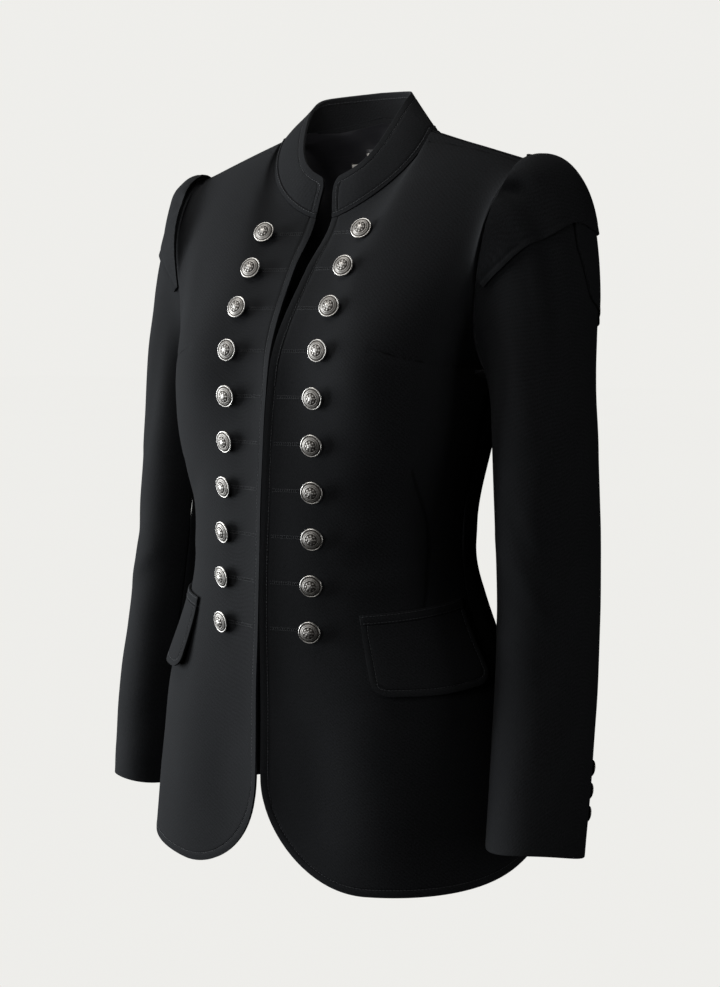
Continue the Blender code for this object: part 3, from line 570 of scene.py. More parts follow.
torso = {
    "z": [-0.680, -0.620, -0.560, -0.500, -0.430, -0.380, -0.320, -0.285, -0.243, -0.215],
    "halfWidth": [0.1970, 0.1893, 0.1805, 0.1700, 0.1442, 0.1360, 0.1410, 0.1475, 0.1530, 0.1550],
    "sideY": [-0.0150, -0.0155, -0.0160, -0.0170, -0.0190, -0.0200, -0.0190, -0.0170, -0.0100, 0.0],
    "frontY": [-0.1380, -0.1375, -0.1365, -0.1350, -0.1325, -0.1305, -0.1275, -0.1250, -0.1205, -0.1165],
    "backY": [0.120, 0.119, 0.118, 0.112, 0.096, 0.070, 0.079, 0.085, 0.091, 0.095],
    "frontSquare": [2.4, 2.4, 2.4, 2.4, 2.4, 2.4, 2.6, 2.9, 3.3, 3.5],
    "backSquare": [2.2, 2.2, 2.2, 2.2, 2.2, 2.3, 2.3, 2.4, 2.5, 2.6],
}
slit = {
    "z": [-0.680, -0.570, -0.510, -0.420, -0.330, -0.240, -0.215],
    "half": [0.0030, 0.0030, 0.0028, 0.0006, 0.0006, 0.0006, 0.0010],
}
body = {
    "chestZ": -0.215,
    "hemZ": -0.6540,
    "hemRise": 0.145,
    "cutawayWidth": 0.100,
    "cutawayHeight": 0.100,
    "edgeSpring": 0.0115,
    "springWidth": 0.020,
    "bustDepth": 0.0125,
    "bustX": 0.092,
    "bustZ": -0.205,
    "frontNeck": np.array([0.0090, -0.0420, -0.0780]),
    "shoulderNeck": np.array([0.0845, 0.0080, 0.0]),
    "nape": np.array([0.0, 0.0600, 0.0170]),
    "shoulderTip": np.array([0.1830, 0.0100, -0.0320]),
    "frontNeckShare": 0.45,
    "backNeckShare": 0.42,
    "tipShare": 0.84,
}
frontArrival = {
    "share": [0.00, 0.18, 0.33, 0.45, 0.84, 0.905, 0.952, 1.00],
    "x": [0.00, 0.00, 0.00, 0.00, 0.32, 0.32, 0.30, 0.25],
    "y": [0.45, 0.50, 0.72, 0.83, 0.80, 0.58, 0.42, 0.20],
    "z": [0.89, 0.86, 0.69, 0.55, 0.52, 0.75, 0.86, 0.95],
    "strength": [0.90, 0.80, 0.60, 0.50, 0.50, 0.60, 0.70, 0.80],
}
backArrival = {
    "share": [0.00, 0.22, 0.42, 0.60, 0.84, 0.905, 0.952, 1.00],
    "x": [0.00, 0.00, 0.00, 0.00, 0.15, 0.14, 0.20, 0.25],
    "y": [-0.45, -0.70, -0.87, -0.87, -0.84, -0.60, -0.45, -0.20],
    "z": [0.89, 0.60, -0.30, -0.46, -0.50, 0.60, 0.85, 0.95],
    "strength": [0.90, 0.75, 0.38, 0.36, 0.36, 0.50, 0.60, 0.80],
}
hole = {
    "turn": [0, 45, 90, 135, 180, 225, 270, 315],
    "x": [0.1830, 0.1755, 0.1680, 0.1595, 0.1550, 0.1615, 0.1705, 0.1785],
    "y": [0.0100, -0.0360, -0.0500, -0.0420, 0.0, 0.0480, 0.0600, 0.0480],
    "z": [-0.0320, -0.0680, -0.1190, -0.1810, -0.2180, -0.1820, -0.1150, -0.0620],
}
torsoAt = splines(torso, "z")
slitAt = splines(slit, "z")
frontWay = splines(frontArrival, "share")
backWay = splines(backArrival, "share")
lapped = {key: hole[key] * 3 for key in hole}
lapped["turn"] = [turn + 360 * lap for lap in (-1, 0, 1) for turn in hole["turn"]]
holeAt = splines(lapped, "turn")


def armhole(turn):
    turn = (np.asarray(turn, float) + 180) % 360 - 180
    return np.stack([holeAt[key](turn) for key in ("x", "y", "z")], -1)


def neckline(turn):
    turn = np.asarray(turn, float)
    angle = np.radians(turn)
    fore = turn <= 90
    frontNeck, sideNeck, nape = body["frontNeck"], body["shoulderNeck"], body["nape"]
    reach = np.where(fore, sideNeck[1] - frontNeck[1], nape[1] - sideNeck[1])
    inner = np.where(fore, frontNeck[0], 0)
    x = inner + (sideNeck[0] - inner) * np.sin(angle)
    y = sideNeck[1] - reach * np.cos(angle)
    frontZ = frontNeck[2] * (1 - np.clip(turn / 90, 0, 1) ** 1.35)
    backZ = nape[2] * np.clip(turn / 90 - 1, 0, 1) ** 1.3
    return np.stack([x, y, np.where(fore, frontZ, backZ)], -1)


def frontNeckTurn(share):
    return 90 * np.clip(share / body["frontNeckShare"], 0, 1) ** 0.9


def backNeckTurn(share):
    return 180 - 90 * np.clip(share / body["backNeckShare"], 0, 1)


def topEdge(share, neckShare, neckTurn, side):
    tip = body["tipShare"]
    along = np.clip((share - neckShare) / (tip - neckShare), 0, 1)[..., None]
    neck = neckline(neckTurn(share))
    seam = body["shoulderNeck"] + (body["shoulderTip"] - body["shoulderNeck"]) * along
    around = armhole(side * 180 * np.clip((share - tip) / (1 - tip), 0, 1) ** 1.2)
    edge = np.where((share <= neckShare)[..., None], neck, seam)
    return np.where((share >= tip)[..., None], around, edge)


def section(share, z, front):
    square = torsoAt["frontSquare" if front else "backSquare"](z)
    depth = np.maximum(1 - share**square, 0) ** (1 / square)
    inner = slitAt["half"](z) if front else 0
    x = inner + (torsoAt["halfWidth"](z) - inner) * share
    y = torsoAt["sideY"](z)
    y = y + (torsoAt["frontY" if front else "backY"](z) - y) * depth
    return np.stack([x, y, z], -1)


def foot(share, front):
    level = np.full(np.shape(share), body["hemZ"])
    for _ in range(3):
        level = body["hemZ"] + body["hemRise"] * section(share, level, front)[..., 1]
    if not front:
        return level
    inner = slitAt["half"](level)
    lean = np.clip(1 - (torsoAt["halfWidth"](level) - inner) * share / body["cutawayWidth"], 0, 1)
    return level + body["cutawayHeight"] * (1 - np.sqrt(1 - lean**2))


def panel(share, along, front):
    share, along = np.broadcast_arrays(np.asarray(share, float), np.asarray(along, float))
    chestZ = body["chestZ"]
    low = foot(share, front)
    chest = section(share, np.full(share.shape, chestZ), front)
    below = section(share, np.full(share.shape, chestZ - 0.004), front)
    neckShare = body["frontNeckShare" if front else "backNeckShare"]
    end = topEdge(share, neckShare, frontNeckTurn if front else backNeckTurn, 1 if front else -1)
    way = frontWay if front else backWay
    rise = np.linalg.norm(end - chest, axis=-1)
    split = (chestZ - low) / (chestZ - low + 1.05 * rise)
    lowerZ = low + (chestZ - low) * np.clip(along / split, 0, 1)
    upper = np.clip((along - split) / np.maximum(1 - split, 1e-6), 0, 1)
    toHole = ease(0.86, 1.0, share)[..., None]
    chord = (end - chest) / np.maximum(rise, 1e-6)[..., None]
    startWay = unit((1 - toHole) * unit(chest - below) + toHole * chord)
    endWay = unit(np.stack([way[key](share) for key in ("x", "y", "z")], -1))
    startPull = (0.9 * rise)[..., None]
    endPull = (way["strength"](share) * rise)[..., None]
    upright = hermite(upper, chest, startWay * startPull, end, endWay * endPull)
    return np.where((along <= split)[..., None], section(share, lowerZ, front), upright)


def frontShape(share, along):
    points = panel(share, along, True)
    share = np.broadcast_to(np.asarray(share, float), points.shape[:-1])
    x, z = points[..., 0], points[..., 2]
    bust = bell(x, body["bustX"], 0.045) * bell(z, body["bustZ"], 0.055) * (1 - ease(0.84, 0.97, share))
    spring = body["edgeSpring"] * np.exp(-x / body["springWidth"]) * ease(-0.085, -0.125, z)
    points[..., 1] -= body["bustDepth"] * bust + spring
    return points


def backShape(share, along):
    return panel(share, along, False)


# Where the grid lines of a panel run: close together beside the topstitching

besideStitch = np.array(
    [0, 0.0011, 0.0024, 0.0040, 0.0052, 0.0060, 0.0065, 0.0069, 0.0074, 0.0081, 0.0092, 0.0110, 0.0135]
)


def panelLines(shape, front, counts):
    besideSeam = besideStitch if front else np.array([0, 0.0012, 0.0030, 0.0060])
    neckShare = body["frontNeckShare" if front else "backNeckShare"]
    tip = body["tipShare"]
    waist = lambda share: section(share, np.full(share.shape, -0.38), front)
    toNeck = np.linspace(0, 1, counts["neck"] + 1)[1:]
    toTip = evenShares(waist, neckShare, tip, counts["shoulder"])[1:]
    toSide = evenShares(waist, tip, 1.0, counts["side"])[1:]
    alongs = np.linspace(0, 1, 60)
    small = 0.03
    reach = np.linalg.norm(shape(np.full(60, small), alongs) - shape(np.zeros(60), alongs), axis=-1)
    perMetre = small / reach
    shares = lambda along: np.interp(along, alongs, perMetre)
    columns = len(besideSeam) + counts["neck"] + counts["shoulder"] + counts["side"]

    def fill(along):
        near = besideSeam * shares(along)
        inner = near[-1] + (neckShare - near[-1]) * toNeck
        return np.concatenate([near, inner, toTip, toSide])

    middle = fill(0.5)
    hemRise = shape(middle, np.full(columns, 0.015)) - shape(middle, np.zeros(columns))
    hemReach = np.linalg.norm(hemRise, axis=-1)
    hemLine = closer(shape(np.linspace(0, 1, 600), np.zeros(600)))
    if front:
        hemLine = np.concatenate([closer(shape(np.zeros(200), np.linspace(0.3, 0, 200))), hemLine])
    trial = shape(middle, np.full(columns, 0.02))
    square = lineDistance(trial[None], hemLine)[0]
    perHem = np.minimum(0.02 / np.maximum(square, 1e-5), 3.0 * 0.015 / hemReach)
    nearHem = besideStitch[:, None] * perHem
    topLength = 0.7
    nearTop = 1 - np.array([0.0050, 0.0028, 0.0012, 0.0]) / topLength
    far = np.linspace(0, 1, counts["rows"] + 1)[1:]
    middleRows = nearHem[-1] + (nearTop[0] - nearHem[-1]) * far[:, None]
    along = np.concatenate([nearHem, middleRows, np.broadcast_to(nearTop[1:, None], (3, columns))])
    return np.array([fill(row[columns // 2]) for row in along]), along


# The share of a panel's length that turns under at its top seam

seamRoll = 1.6 / 700


# Soft folds of a panel: from one place to another on it, with a width and a height

def addFolds(points, normals, folds, strength=1.0):
    flat = points[..., [0, 2]]
    moved = np.zeros(points.shape[:-1])
    for fromX, fromZ, toX, toZ, width, height in folds:
        start, end = np.array([fromX, fromZ]), np.array([toX, toZ])
        way = end - start
        share = np.clip(((flat - start) @ way) / (way @ way), 0, 1)
        away = np.linalg.norm(flat - start - share[..., None] * way, axis=-1)
        moved += height * bell(away, 0, width) * np.sin(math.pi * (share * 0.9 + 0.05)) ** 0.6
    return points + normals * (moved * strength)[..., None]


def ripple(points, seed, size, height):
    # very low unevenness of pressed cloth
    rng = np.random.default_rng(seed)
    moved = np.zeros(points.shape[:-1])
    for _ in range(7):
        way = unit(rng.normal(size=3)) * rng.uniform(0.6, 1.6) / size
        moved += np.sin(points @ way * 2 * math.pi + rng.uniform(0, 6.3))
    return moved * height / 7


frontLook = {
    "counts": {"neck": 34, "shoulder": 30, "side": 46, "rows": 150},
    "grooveDepth": 0.00030,
    "grooveWidth": 0.0009,
    "bustDart": np.array([[0.100, -0.1960], [0.118, -0.2010], [0.136, -0.2065], [0.160, -0.2130]]),
    "frontDart": np.array([[0.1265, -0.300], [0.1285, -0.345], [0.1290, -0.385], [0.1305, -0.428]]),
    "dartDepth": 0.0007,
    "yokeNeck": 0.0330,
    "yokeTip": 0.0100,
    "ripple": 0.0006,
}
foldLines = {
    "left": [
        (0.145, -0.235, 0.118, -0.330, 0.013, 0.0014),
        (0.130, -0.360, 0.100, -0.300, 0.016, -0.0018),
        (0.060, -0.375, 0.110, -0.345, 0.012, 0.0012),
        (0.070, -0.405, 0.128, -0.392, 0.012, 0.0014),
        (0.020, -0.300, 0.040, -0.420, 0.020, 0.0010),
        (0.100, -0.500, 0.120, -0.640, 0.030, 0.0030),
        (0.050, -0.520, 0.060, -0.640, 0.024, -0.0020),
        (0.040, -0.085, 0.075, -0.160, 0.012, 0.0010),
    ],
    "right": [
        (0.140, -0.100, 0.112, -0.185, 0.012, 0.0012),
        (0.140, -0.250, 0.115, -0.340, 0.013, 0.0020),
        (0.128, -0.350, 0.090, -0.310, 0.014, -0.0015),
        (0.060, -0.385, 0.125, -0.375, 0.012, 0.0014),
        (0.095, -0.500, 0.110, -0.640, 0.030, 0.0026),
        (0.045, -0.530, 0.050, -0.640, 0.024, -0.0018),
    ],
}


def evenOut(points, edge, passes=70):
    # softens the upper chest across its width, away from its edges
    held = ease(0.002, 0.014, edge) * ease(-0.235, -0.190, points[..., 2])
    for _ in range(passes):
        beside = (points[:, :-2] + points[:, 2:]) / 2
        points[:, 1:-1] += (beside - points[:, 1:-1]) * (0.5 * held[:, 1:-1, None])
    return points


def polylineXZ(points, line):
    # distance in front view from a line given as x and z
    close = closer(np.column_stack([line[:, 0], np.zeros(len(line)), line[:, 1]]), 0.0005)
    flat = np.stack([points[..., 0], np.zeros(points.shape[:-1]), points[..., 2]], -1)
    return lineDistance(flat, close)


def makeFront(side):
    look = frontLook
    across, along = panelLines(frontShape, True, look["counts"])
    points = frontShape(across, along)
    inside = np.array([0.05, 0.0, -0.3])
    normals = gridNormals(points, inside)
    rimLine = np.concatenate([closer(points[:, 0]), closer(points[-1]), closer(points[:, -1])])
    points = evenOut(points, lineDistance(points, rimLine))
    normals = gridNormals(points, inside)
    points = addFolds(points, normals, foldLines[side])
    waves = ripple(points, 3 if side == "left" else 4, 0.09, look["ripple"])
    points += normals * (waves * ease(0.0, 0.02, along))[..., None]
    frontEdge = closer(frontShape(np.zeros(300), np.linspace(1, 0, 300)))
    hemEdge = closer(frontShape(np.linspace(0, 1, 500), np.zeros(500)))
    edgeLine = np.concatenate([frontEdge, hemEdge])
    edge = lineDistance(frontShape(across, along), edgeLine)
    dart = np.minimum(polylineXZ(points, look["bustDart"]), polylineXZ(points, look["frontDart"]))
    # the shoulder seam line is counted with the darts, so the twill paints shade along it too
    shoulder = np.linspace(body["frontNeckShare"] + 0.01, body["tipShare"] + 0.01, 80)
    shoulderLine = closer(frontShape(shoulder, 1 - np.linspace(look["yokeNeck"], look["yokeTip"], 80)))
    dart = np.minimum(dart, lineDistance(frontShape(across, along), shoulderLine))
    groove = look["grooveDepth"] * bell(edge, stitchInset, look["grooveWidth"])
    puffed = 0.00022 * bell(edge, stitchInset * 0.5, 0.0022)
    sunk = look["dartDepth"] * bell(dart, 0, 0.0030)
    points += normals * (puffed - groove - sunk)[..., None]
    # half of each seam's gap, and the side seam and shoulder seam rolled under a little
    holeEdge = closer(frontShape(np.linspace(body["tipShare"], 1, 120), np.ones(120)))
    atHole = lineDistance(frontShape(across, along), holeEdge)
    rolled = 0.0006 * (bell(along, 1, seamRoll) * ease(0.44, 0.46, across) + bell(atHole, 0, 0.010))
    points -= normals * rolled[..., None]
    points[:, -1] += unit(points[:, -2] - points[:, -1]) * gap["seam"] / 2
    points[-1] += unit(points[-2] - points[-1]) * gap["seam"] / 2
    if side == "right":
        points, normals = points * mirror, normals * mirror
    sewn = {"edge": edge * 1000, "dart": dart * 1000}
    piece = clothPiece("front_panel_" + side, points, normals, cloth["body"], linedTwill, **sewn)
    # the facing inside the front edge is cut from the outer cloth
    for face in piece.data.polygons:
        if face.material_index == 1 and abs(face.center.x) < 0.062 - 0.10 * max(face.center.z + 0.20, 0):
            face.material_index = 0
    dress(piece, "front_" + side, "hung", ["collar_band"])
    return piece


def sewFront(side, piece):
    tree = treeOf(piece)
    flip = flips[side]
    shares = np.concatenate([np.zeros(260), np.linspace(0, 1, 320)[1:]])
    alongs = np.concatenate([np.linspace(0.992, 0, 260), np.zeros(319)])
    line = closer(frontShape(shares, alongs), 0.002)
    middle = frontShape(np.array([0.35]), np.array([0.5]))[0]
    toward = np.broadcast_to(middle, line.shape).copy()
    toward[:, 2] = np.where(line[:, 2] < -0.5, -0.3, line[:, 2])
    toward[:, 0] = np.where(line[:, 2] < -0.5, line[:, 0] * 0.9 + 0.012, 0.08)
    out = []
    for spot, aim in zip(line, toward):
        inner = Vector((spot + unit(aim - spot) * 0.008) * flip)
        place, normal, _, _ = tree.ray_cast(inner - Vector((0, 1, 0)), Vector((0, 1, 0)))
        if place is None:
            place, normal, _, _ = tree.find_nearest(inner)
        out.append(np.array(normal) * flip)
    out = np.array(out)
    out[:, 2] *= 0.2
    out = unit(out)
    sewn = insetLine(line, out, toward, stitchInset) * flip
    keep = np.concatenate([[True], np.linalg.norm(np.diff(sewn, axis=0), axis=-1) > 0.0006])
    sewStitches("front_stitching_" + side, alongLine(tree, sewn[keep]), piece.name)


backLook = {
    "counts": {"neck": 26, "shoulder": 26, "side": 40, "rows": 130},
    "ripple": 0.0008,
    "backDart": np.array([
        [0.085, -0.215],
        [0.075, -0.300],
        [0.070, -0.380],
        [0.078, -0.460],
        [0.090, -0.560],
        [0.098, -0.640],
    ]),
}
backFolds = [
    (0.150, -0.120, 0.100, -0.220, 0.016, 0.0028),
    (0.120, -0.300, 0.040, -0.350, 0.014, 0.0018),
    (0.130, -0.360, 0.045, -0.385, 0.014, 0.0022),
    (0.120, -0.420, 0.040, -0.400, 0.014, 0.0016),
    (0.060, -0.470, 0.075, -0.640, 0.030, 0.0034),
    (0.135, -0.480, 0.150, -0.640, 0.030, -0.0026),
    (0.030, -0.060, 0.060, -0.150, 0.020, 0.0012),
]


def makeBack(side):
    look = backLook
    across, along = panelLines(backShape, False, look["counts"])
    points = backShape(across, along)
    normals = gridNormals(points, np.array([0.05, 0.0, -0.3]))
    points = addFolds(points, normals, backFolds, 1.0 if side == "left" else 0.8)
    waves = ripple(points, 5 if side == "left" else 6, 0.10, look["ripple"])
    points += normals * (waves * ease(0.0, 0.02, along) * ease(0.0, 0.05, across))[..., None]
    hemLine = closer(backShape(np.linspace(0, 1, 500), np.zeros(500)))
    edge = lineDistance(backShape(across, along), hemLine)
    dart = polylineXZ(points, look["backDart"])
    groove = frontLook["grooveDepth"] * bell(edge, stitchInset, frontLook["grooveWidth"])
    sunk = 0.0006 * bell(dart, 0, 0.0030) + 0.0005 * bell(points[..., 0], 0, 0.0025)
    rolled = 0.0006 * bell(along, 1, seamRoll) * ease(0.41, 0.43, across)
    points -= normals * (groove + sunk + rolled)[..., None]
    points[:, -1] += unit(points[:, -2] - points[:, -1]) * gap["seam"] / 2
    points[:, 0] += unit(points[:, 1] - points[:, 0]) * gap["seam"] / 2
    points[-1] += unit(points[-2] - points[-1]) * gap["seam"] / 2
    if side == "right":
        points, normals = points * mirror, normals * mirror
    sewn = {"edge": edge * 1000, "dart": dart * 1000}
    piece = clothPiece("back_panel_" + side, points, normals, cloth["body"], linedTwill, **sewn)
    dress(piece, "back_" + side, "hung", ["collar_band"])
    line = closer(backShape(np.linspace(0.01, 1, 320), np.zeros(320)), 0.002)
    toward = line + np.array([0, 0, 0.1])
    outward = unit(line * np.array([1, 1, 0]))
    flip = flips[side]
    sewn = insetLine(line, outward, toward, stitchInset) * flip
    sewStitches("back_stitching_" + side, alongLine(treeOf(piece), sewn), piece.name)


fronts = {side: makeFront(side) for side in flips}
for side, piece in fronts.items():
    sewFront(side, piece)
print("fronts made")
for side in flips:
    makeBack(side)
print("backs made")


# Sleeves

sleeveRings = {
    "left": {
        "z": [-0.250, -0.330, -0.420, -0.530, -0.640],
        "x": [0.2030, 0.2075, 0.2120, 0.2205, 0.2320],
        "y": [0.0060, 0.0055, 0.0020, -0.0215, -0.0590],
        "halfWidth": [0.0425, 0.0420, 0.0415, 0.0415, 0.0410],
        "halfDepth": [0.0585, 0.0610, 0.0585, 0.0560, 0.0490],
    },
    "right": {
        "z": [-0.250, -0.330, -0.420, -0.530, -0.640],
        "x": [0.1960, 0.2005, 0.2080, 0.2220, 0.2370],
        "y": [0.0180, 0.0100, 0.0023, -0.0050, -0.0080],
        "halfWidth": [0.0425, 0.0420, 0.0415, 0.0415, 0.0410],
        "halfDepth": [0.0660, 0.0625, 0.0585, 0.0560, 0.0490],
    },
}
sleeve = {
    "bicepZ": -0.25,
    "cuffZ": {"left": -0.623, "right": -0.638},
    "cuffSlant": 0.005,
    "cuffSeamFall": 0.004,
    "hindSeam": -42.0,
    "foreSeam": 142.0,
    "pleatDepth": 0.0032,
    "backPleat": 0.6,
    "rows": 150,
    "ripple": 0.0007,
    "girth": 0.05,
}
layers = {
    "turn": [-130, -90, -42, -11, 0, 10, 29, 49, 80, 104, 142],
    "headZ": [-0.1350, -0.1150, -0.0980, -0.0940, -0.0905, -0.0885, -0.0975, -0.1065, -0.125, -0.143, -0.195],
    "tuckZ": [-0.1900, -0.1820, -0.1720, -0.1570, -0.1440, -0.1100, -0.1060, -0.1250, -0.150, -0.170, -0.210],
}
layerLook = {
    "headTurns": (-90, 104),
    "tuckTurns": (-116, 10),
    "leastHead": 0.014,
    "leastTuck": 0.010,
    "flare": 0.0003,
}
ringAt = {side: splines(sleeveRings[side], "z") for side in sleeveRings}
layerAt = splines(layers, "turn")


def sleevePlain(side, turn, share):
    turn, share = np.broadcast_arrays(np.asarray(turn, float), np.asarray(share, float))
    angle = np.radians(turn)
    outward = (1 + np.cos(angle)) / 2
    sine = np.sin(angle)
    bicepZ = sleeve["bicepZ"]
    at = ringAt[side]

    def ring(z):
        x = at["x"](z) + at["halfWidth"](z) * np.cos(angle)
        y = at["y"](z) - at["halfDepth"](z) * sine
        return np.stack([x, y, z], -1)

    start = armhole(turn) + np.array([gap["sleeve"], 0, 0])
    bicep = ring(np.full(angle.shape, bicepZ))
    below = ring(np.full(angle.shape, bicepZ - 0.004))
    fore, hind = np.maximum(sine, 0), np.maximum(-sine, 0)
    leaveX = 0.02 + 0.13 * outward
    leaveY = 0.07 * outward + 0.06 * hind
    leaveZ = (0.0525 - 0.02 * fore) * outward - 0.08 * (1 - outward)
    leave = unit(np.stack([leaveX, leaveY, leaveZ], -1))
    length = np.linalg.norm(bicep - start, axis=-1)
    puff = 0.69 + (0.13 - 0.20 * sine) * outward**2 + 0.25 * hind**2
    fall = sleeve["cuffSeamFall"] * np.cos(2 * (angle - math.radians(sleeve["hindSeam"])))
    cuff = sleeve["cuffZ"][side] - sleeve["cuffSlant"] * np.cos(angle + math.radians(45)) - fall
    split = length / (length + bicepZ - cuff)
    upper = np.clip(share / split, 0, 1)
    leaving = leave * (puff * length)[..., None]
    arriving = unit(below - bicep) * length[..., None]
    cap = hermite(upper, start, leaving, bicep, arriving)
    lower = np.clip((share - split) / (1 - split), 0, 1)
    arm = ring(bicepZ + (cuff - bicepZ) * lower)
    return np.where((share <= split)[..., None], cap, arm)


def pleats(turn, share):
    # folds that stand beside the top of the sleeve head and fade out down the sleeve
    turn = np.asarray(turn, float)
    away = np.abs((turn + 180) % 360 - 180)
    roll = 0.8 * (1 - ease(20, 36, away))
    folded = np.where(turn < 0, sleeve["backPleat"], 1.0)
    valley = -folded * bell(away, 37, 7.0)
    lip = 0.55 * folded * bell(away, 50, 8.0)
    fade = ease(0.0, 0.07, share) * (1 - ease(0.12, 0.36, share))
    pinch = 0.0014 * bell(turn, 24, 7.0) * bell(share, 0.045, 0.035)
    pinch -= 0.0044 * bell(turn, 36, 4.5) * bell(share, 0.030, 0.026)
    return sleeve["pleatDepth"] * (roll + valley + lip) * fade + pinch * ease(0.0, 0.008, share)


# Folds of a sleeve, by turn and height: place, width and height of each
sleeveFolds = {
    "left": [
        (100, -0.330, 70, -0.372, 0.010, -0.0018),
        (125, -0.360, 60, -0.405, 0.010, 0.0022),
        (110, -0.400, 55, -0.432, 0.009, -0.0018),
        (130, -0.440, 70, -0.462, 0.010, 0.0014),
        (30, -0.230, 60, -0.330, 0.016, 0.0016),
        (-20, -0.300, 5, -0.420, 0.016, -0.0012),
        (95, -0.170, 70, -0.260, 0.014, 0.0020),
        (60, -0.500, 40, -0.600, 0.016, 0.0012),
        (-60, -0.360, -90, -0.450, 0.016, 0.0016),
    ],
    "right": [
        (60, -0.150, 45, -0.290, 0.012, 0.0022),
        (85, -0.180, 70, -0.300, 0.012, -0.0016),
        (30, -0.300, 20, -0.440, 0.016, 0.0014),
        (70, -0.360, 30, -0.400, 0.012, -0.0014),
        (95, -0.400, 45, -0.432, 0.012, 0.0018),
        (60, -0.480, 45, -0.600, 0.018, 0.0014),
        (-40, -0.340, -80, -0.430, 0.016, 0.0014),
    ],
}


def sleeveShape(side, turn, share):
    points = sleevePlain(side, turn, share)
    turn = np.broadcast_to(np.asarray(turn, float), points.shape[:-1])
    share = np.broadcast_to(np.asarray(share, float), points.shape[:-1])
    small = 0.5
    across = sleevePlain(side, turn + small, share) - sleevePlain(side, turn - small, share)
    low, high = np.maximum(share - 0.001, 0), np.minimum(share + 0.001, 1)
    up = sleevePlain(side, turn, high) - sleevePlain(side, turn, low)
    normals = unit(np.cross(across, up))
    moved = pleats(turn, share)
    wrapped = (turn + 180) % 360 - 180
    flat = np.stack([np.radians(wrapped) * sleeve["girth"], points[..., 2]], -1)
    for fromTurn, fromZ, toTurn, toZ, width, height in sleeveFolds[side]:
        start = np.array([math.radians(fromTurn) * sleeve["girth"], fromZ])
        way = np.array([math.radians(toTurn) * sleeve["girth"], toZ]) - start
        place = np.clip(((flat - start) @ way) / (way @ way), 0, 1)
        away = np.linalg.norm(flat - start - place[..., None] * way, axis=-1)
        moved = moved + height * bell(away, 0, width) * np.sin(math.pi * (place * 0.8 + 0.1)) ** 0.7
    calm = ease(0.0, 0.05, share) * ease(1.0, 0.97, share)
    for seam in ("hindSeam", "foreSeam"):
        calm = calm * ease(0.0, 14.0, np.abs(wrapped - sleeve[seam]))
    moved = moved + ripple(points, 8 if side == "left" else 9, 0.08, sleeve["ripple"]) * calm
    # easing gathers along the armhole seam
    atSeam = bell(share, 0.012, 0.012) * ease(100, 60, np.abs(wrapped))
    moved = moved + 0.00035 * np.sin(np.radians(turn) * 46) * atSeam
    return points + normals * moved[..., None], normals


def shareAtHeight(side, turns, heights):
    dense = np.linspace(0, 1, 401)
    found = []
    for turn, height in zip(np.atleast_1d(turns), np.atleast_1d(heights)):
        fall = np.maximum.accumulate(-sleevePlain(side, np.full(401, turn), dense)[:, 2])
        found.append(np.interp(-height, fall, dense))
    return np.array(found)


def makeSleeve(side):
    flip = flips[side]
    near = np.array([0, 0.0012, 0.0030, 0.0060]) / 0.60
    cuffNear = 1 - np.array([0.0050, 0.0024, 0.0010, 0.0]) / 0.60
    rows = np.concatenate([near, np.linspace(near[-1], cuffNear[0], sleeve["rows"])[1:], cuffNear[1:]])
    hind, fore = sleeve["hindSeam"], sleeve["foreSeam"]
    margin = 1.4
    for name, start, end, count in (("top", hind, fore, 70), ("under", fore, 360 + hind, 58)):
        between = np.linspace(start + 2 * margin, end - 2 * margin, count)
        turns = np.concatenate([[start, start + margin], between, [end - margin, end]])
        turn, share = np.meshgrid(turns, rows)
        points, normals = sleeveShape(side, turn, share)
        seamAway = np.minimum(turn - start, end - turn)
        points -= normals * (0.0005 * bell(seamAway, 0, 1.3))[..., None]
        points[:, 0] += unit(points[:, 1] - points[:, 0]) * gap["sleeve"] / 2
        points[:, -1] += unit(points[:, -2] - points[:, -1]) * gap["sleeve"] / 2
        half = f"sleeve_{name}_half_{side}"
        piece = clothPiece(half, points * flip, normals * flip, cloth["body"], linedTwill)
        dress(piece, f"sleeve_{name}_{side}", "hung", ["front_panel_" + side])


def makeLayer(side, kind):
    # one layer of the pleated sleeve head, with a folded lower edge
    flip = flips[side]
    first, last = layerLook[kind + "Turns"]
    count = 84 if kind == "head" else 56
    turns = np.linspace(first, last, count)
    head = np.maximum(shareAtHeight(side, turns, layerAt["headZ"](turns)), layerLook["leastHead"])
    foot = head
    if kind == "tuck":
        foot = np.maximum(shareAtHeight(side, turns, layerAt["tuckZ"](turns)), head + layerLook["leastTuck"])
    steps = np.concatenate([[0, 0.01, 0.03], np.linspace(0.06, 0.94, 40), [0.97, 0.985, 1.0]])
    share = foot * steps[:, None]
    turn = np.broadcast_to(turns, share.shape)
    points, normals = sleeveShape(side, turn, share)
    over = 1.0 if kind == "head" else 0.0
    onTuck = 1 - ease(layerLook["tuckTurns"][1] + 8, layerLook["tuckTurns"][1] + 28, turn)
    lift = gap["layer"] + over * onTuck * (gap["layer"] + cloth["layer"])
    flare = layerLook["flare"] * steps[:, None] ** 2 * (0.3 + 0.7 * over)
    facing = normals.copy()
    facing[0, :, 0] = np.maximum(facing[0, :, 0], 0)
    facing[0] = unit(facing[0])
    edge = np.linalg.norm(points[-1] - points, axis=-1) * 1000
    crease = 0.0004 * bell(edge, 5.5, 1.6) * (1 if kind == "head" else 0.5)
    points = points + facing * (lift + flare + cloth["layer"] - crease)[..., None]
    name = f"sleeve_{'petal' if kind == 'head' else 'underlayer'}_{side}"
    piece = clothPiece(name, points * flip, facing * flip, cloth["layer"], [blackTwill], 0.0006)
    dress(piece, f"sleeve_{kind}_{side}", "gathered", [f"sleeve_top_half_{side}"])


for side in flips:
    makeSleeve(side)
    makeLayer(side, "tuck")
    makeLayer(side, "head")
print("sleeves made")


# Collar

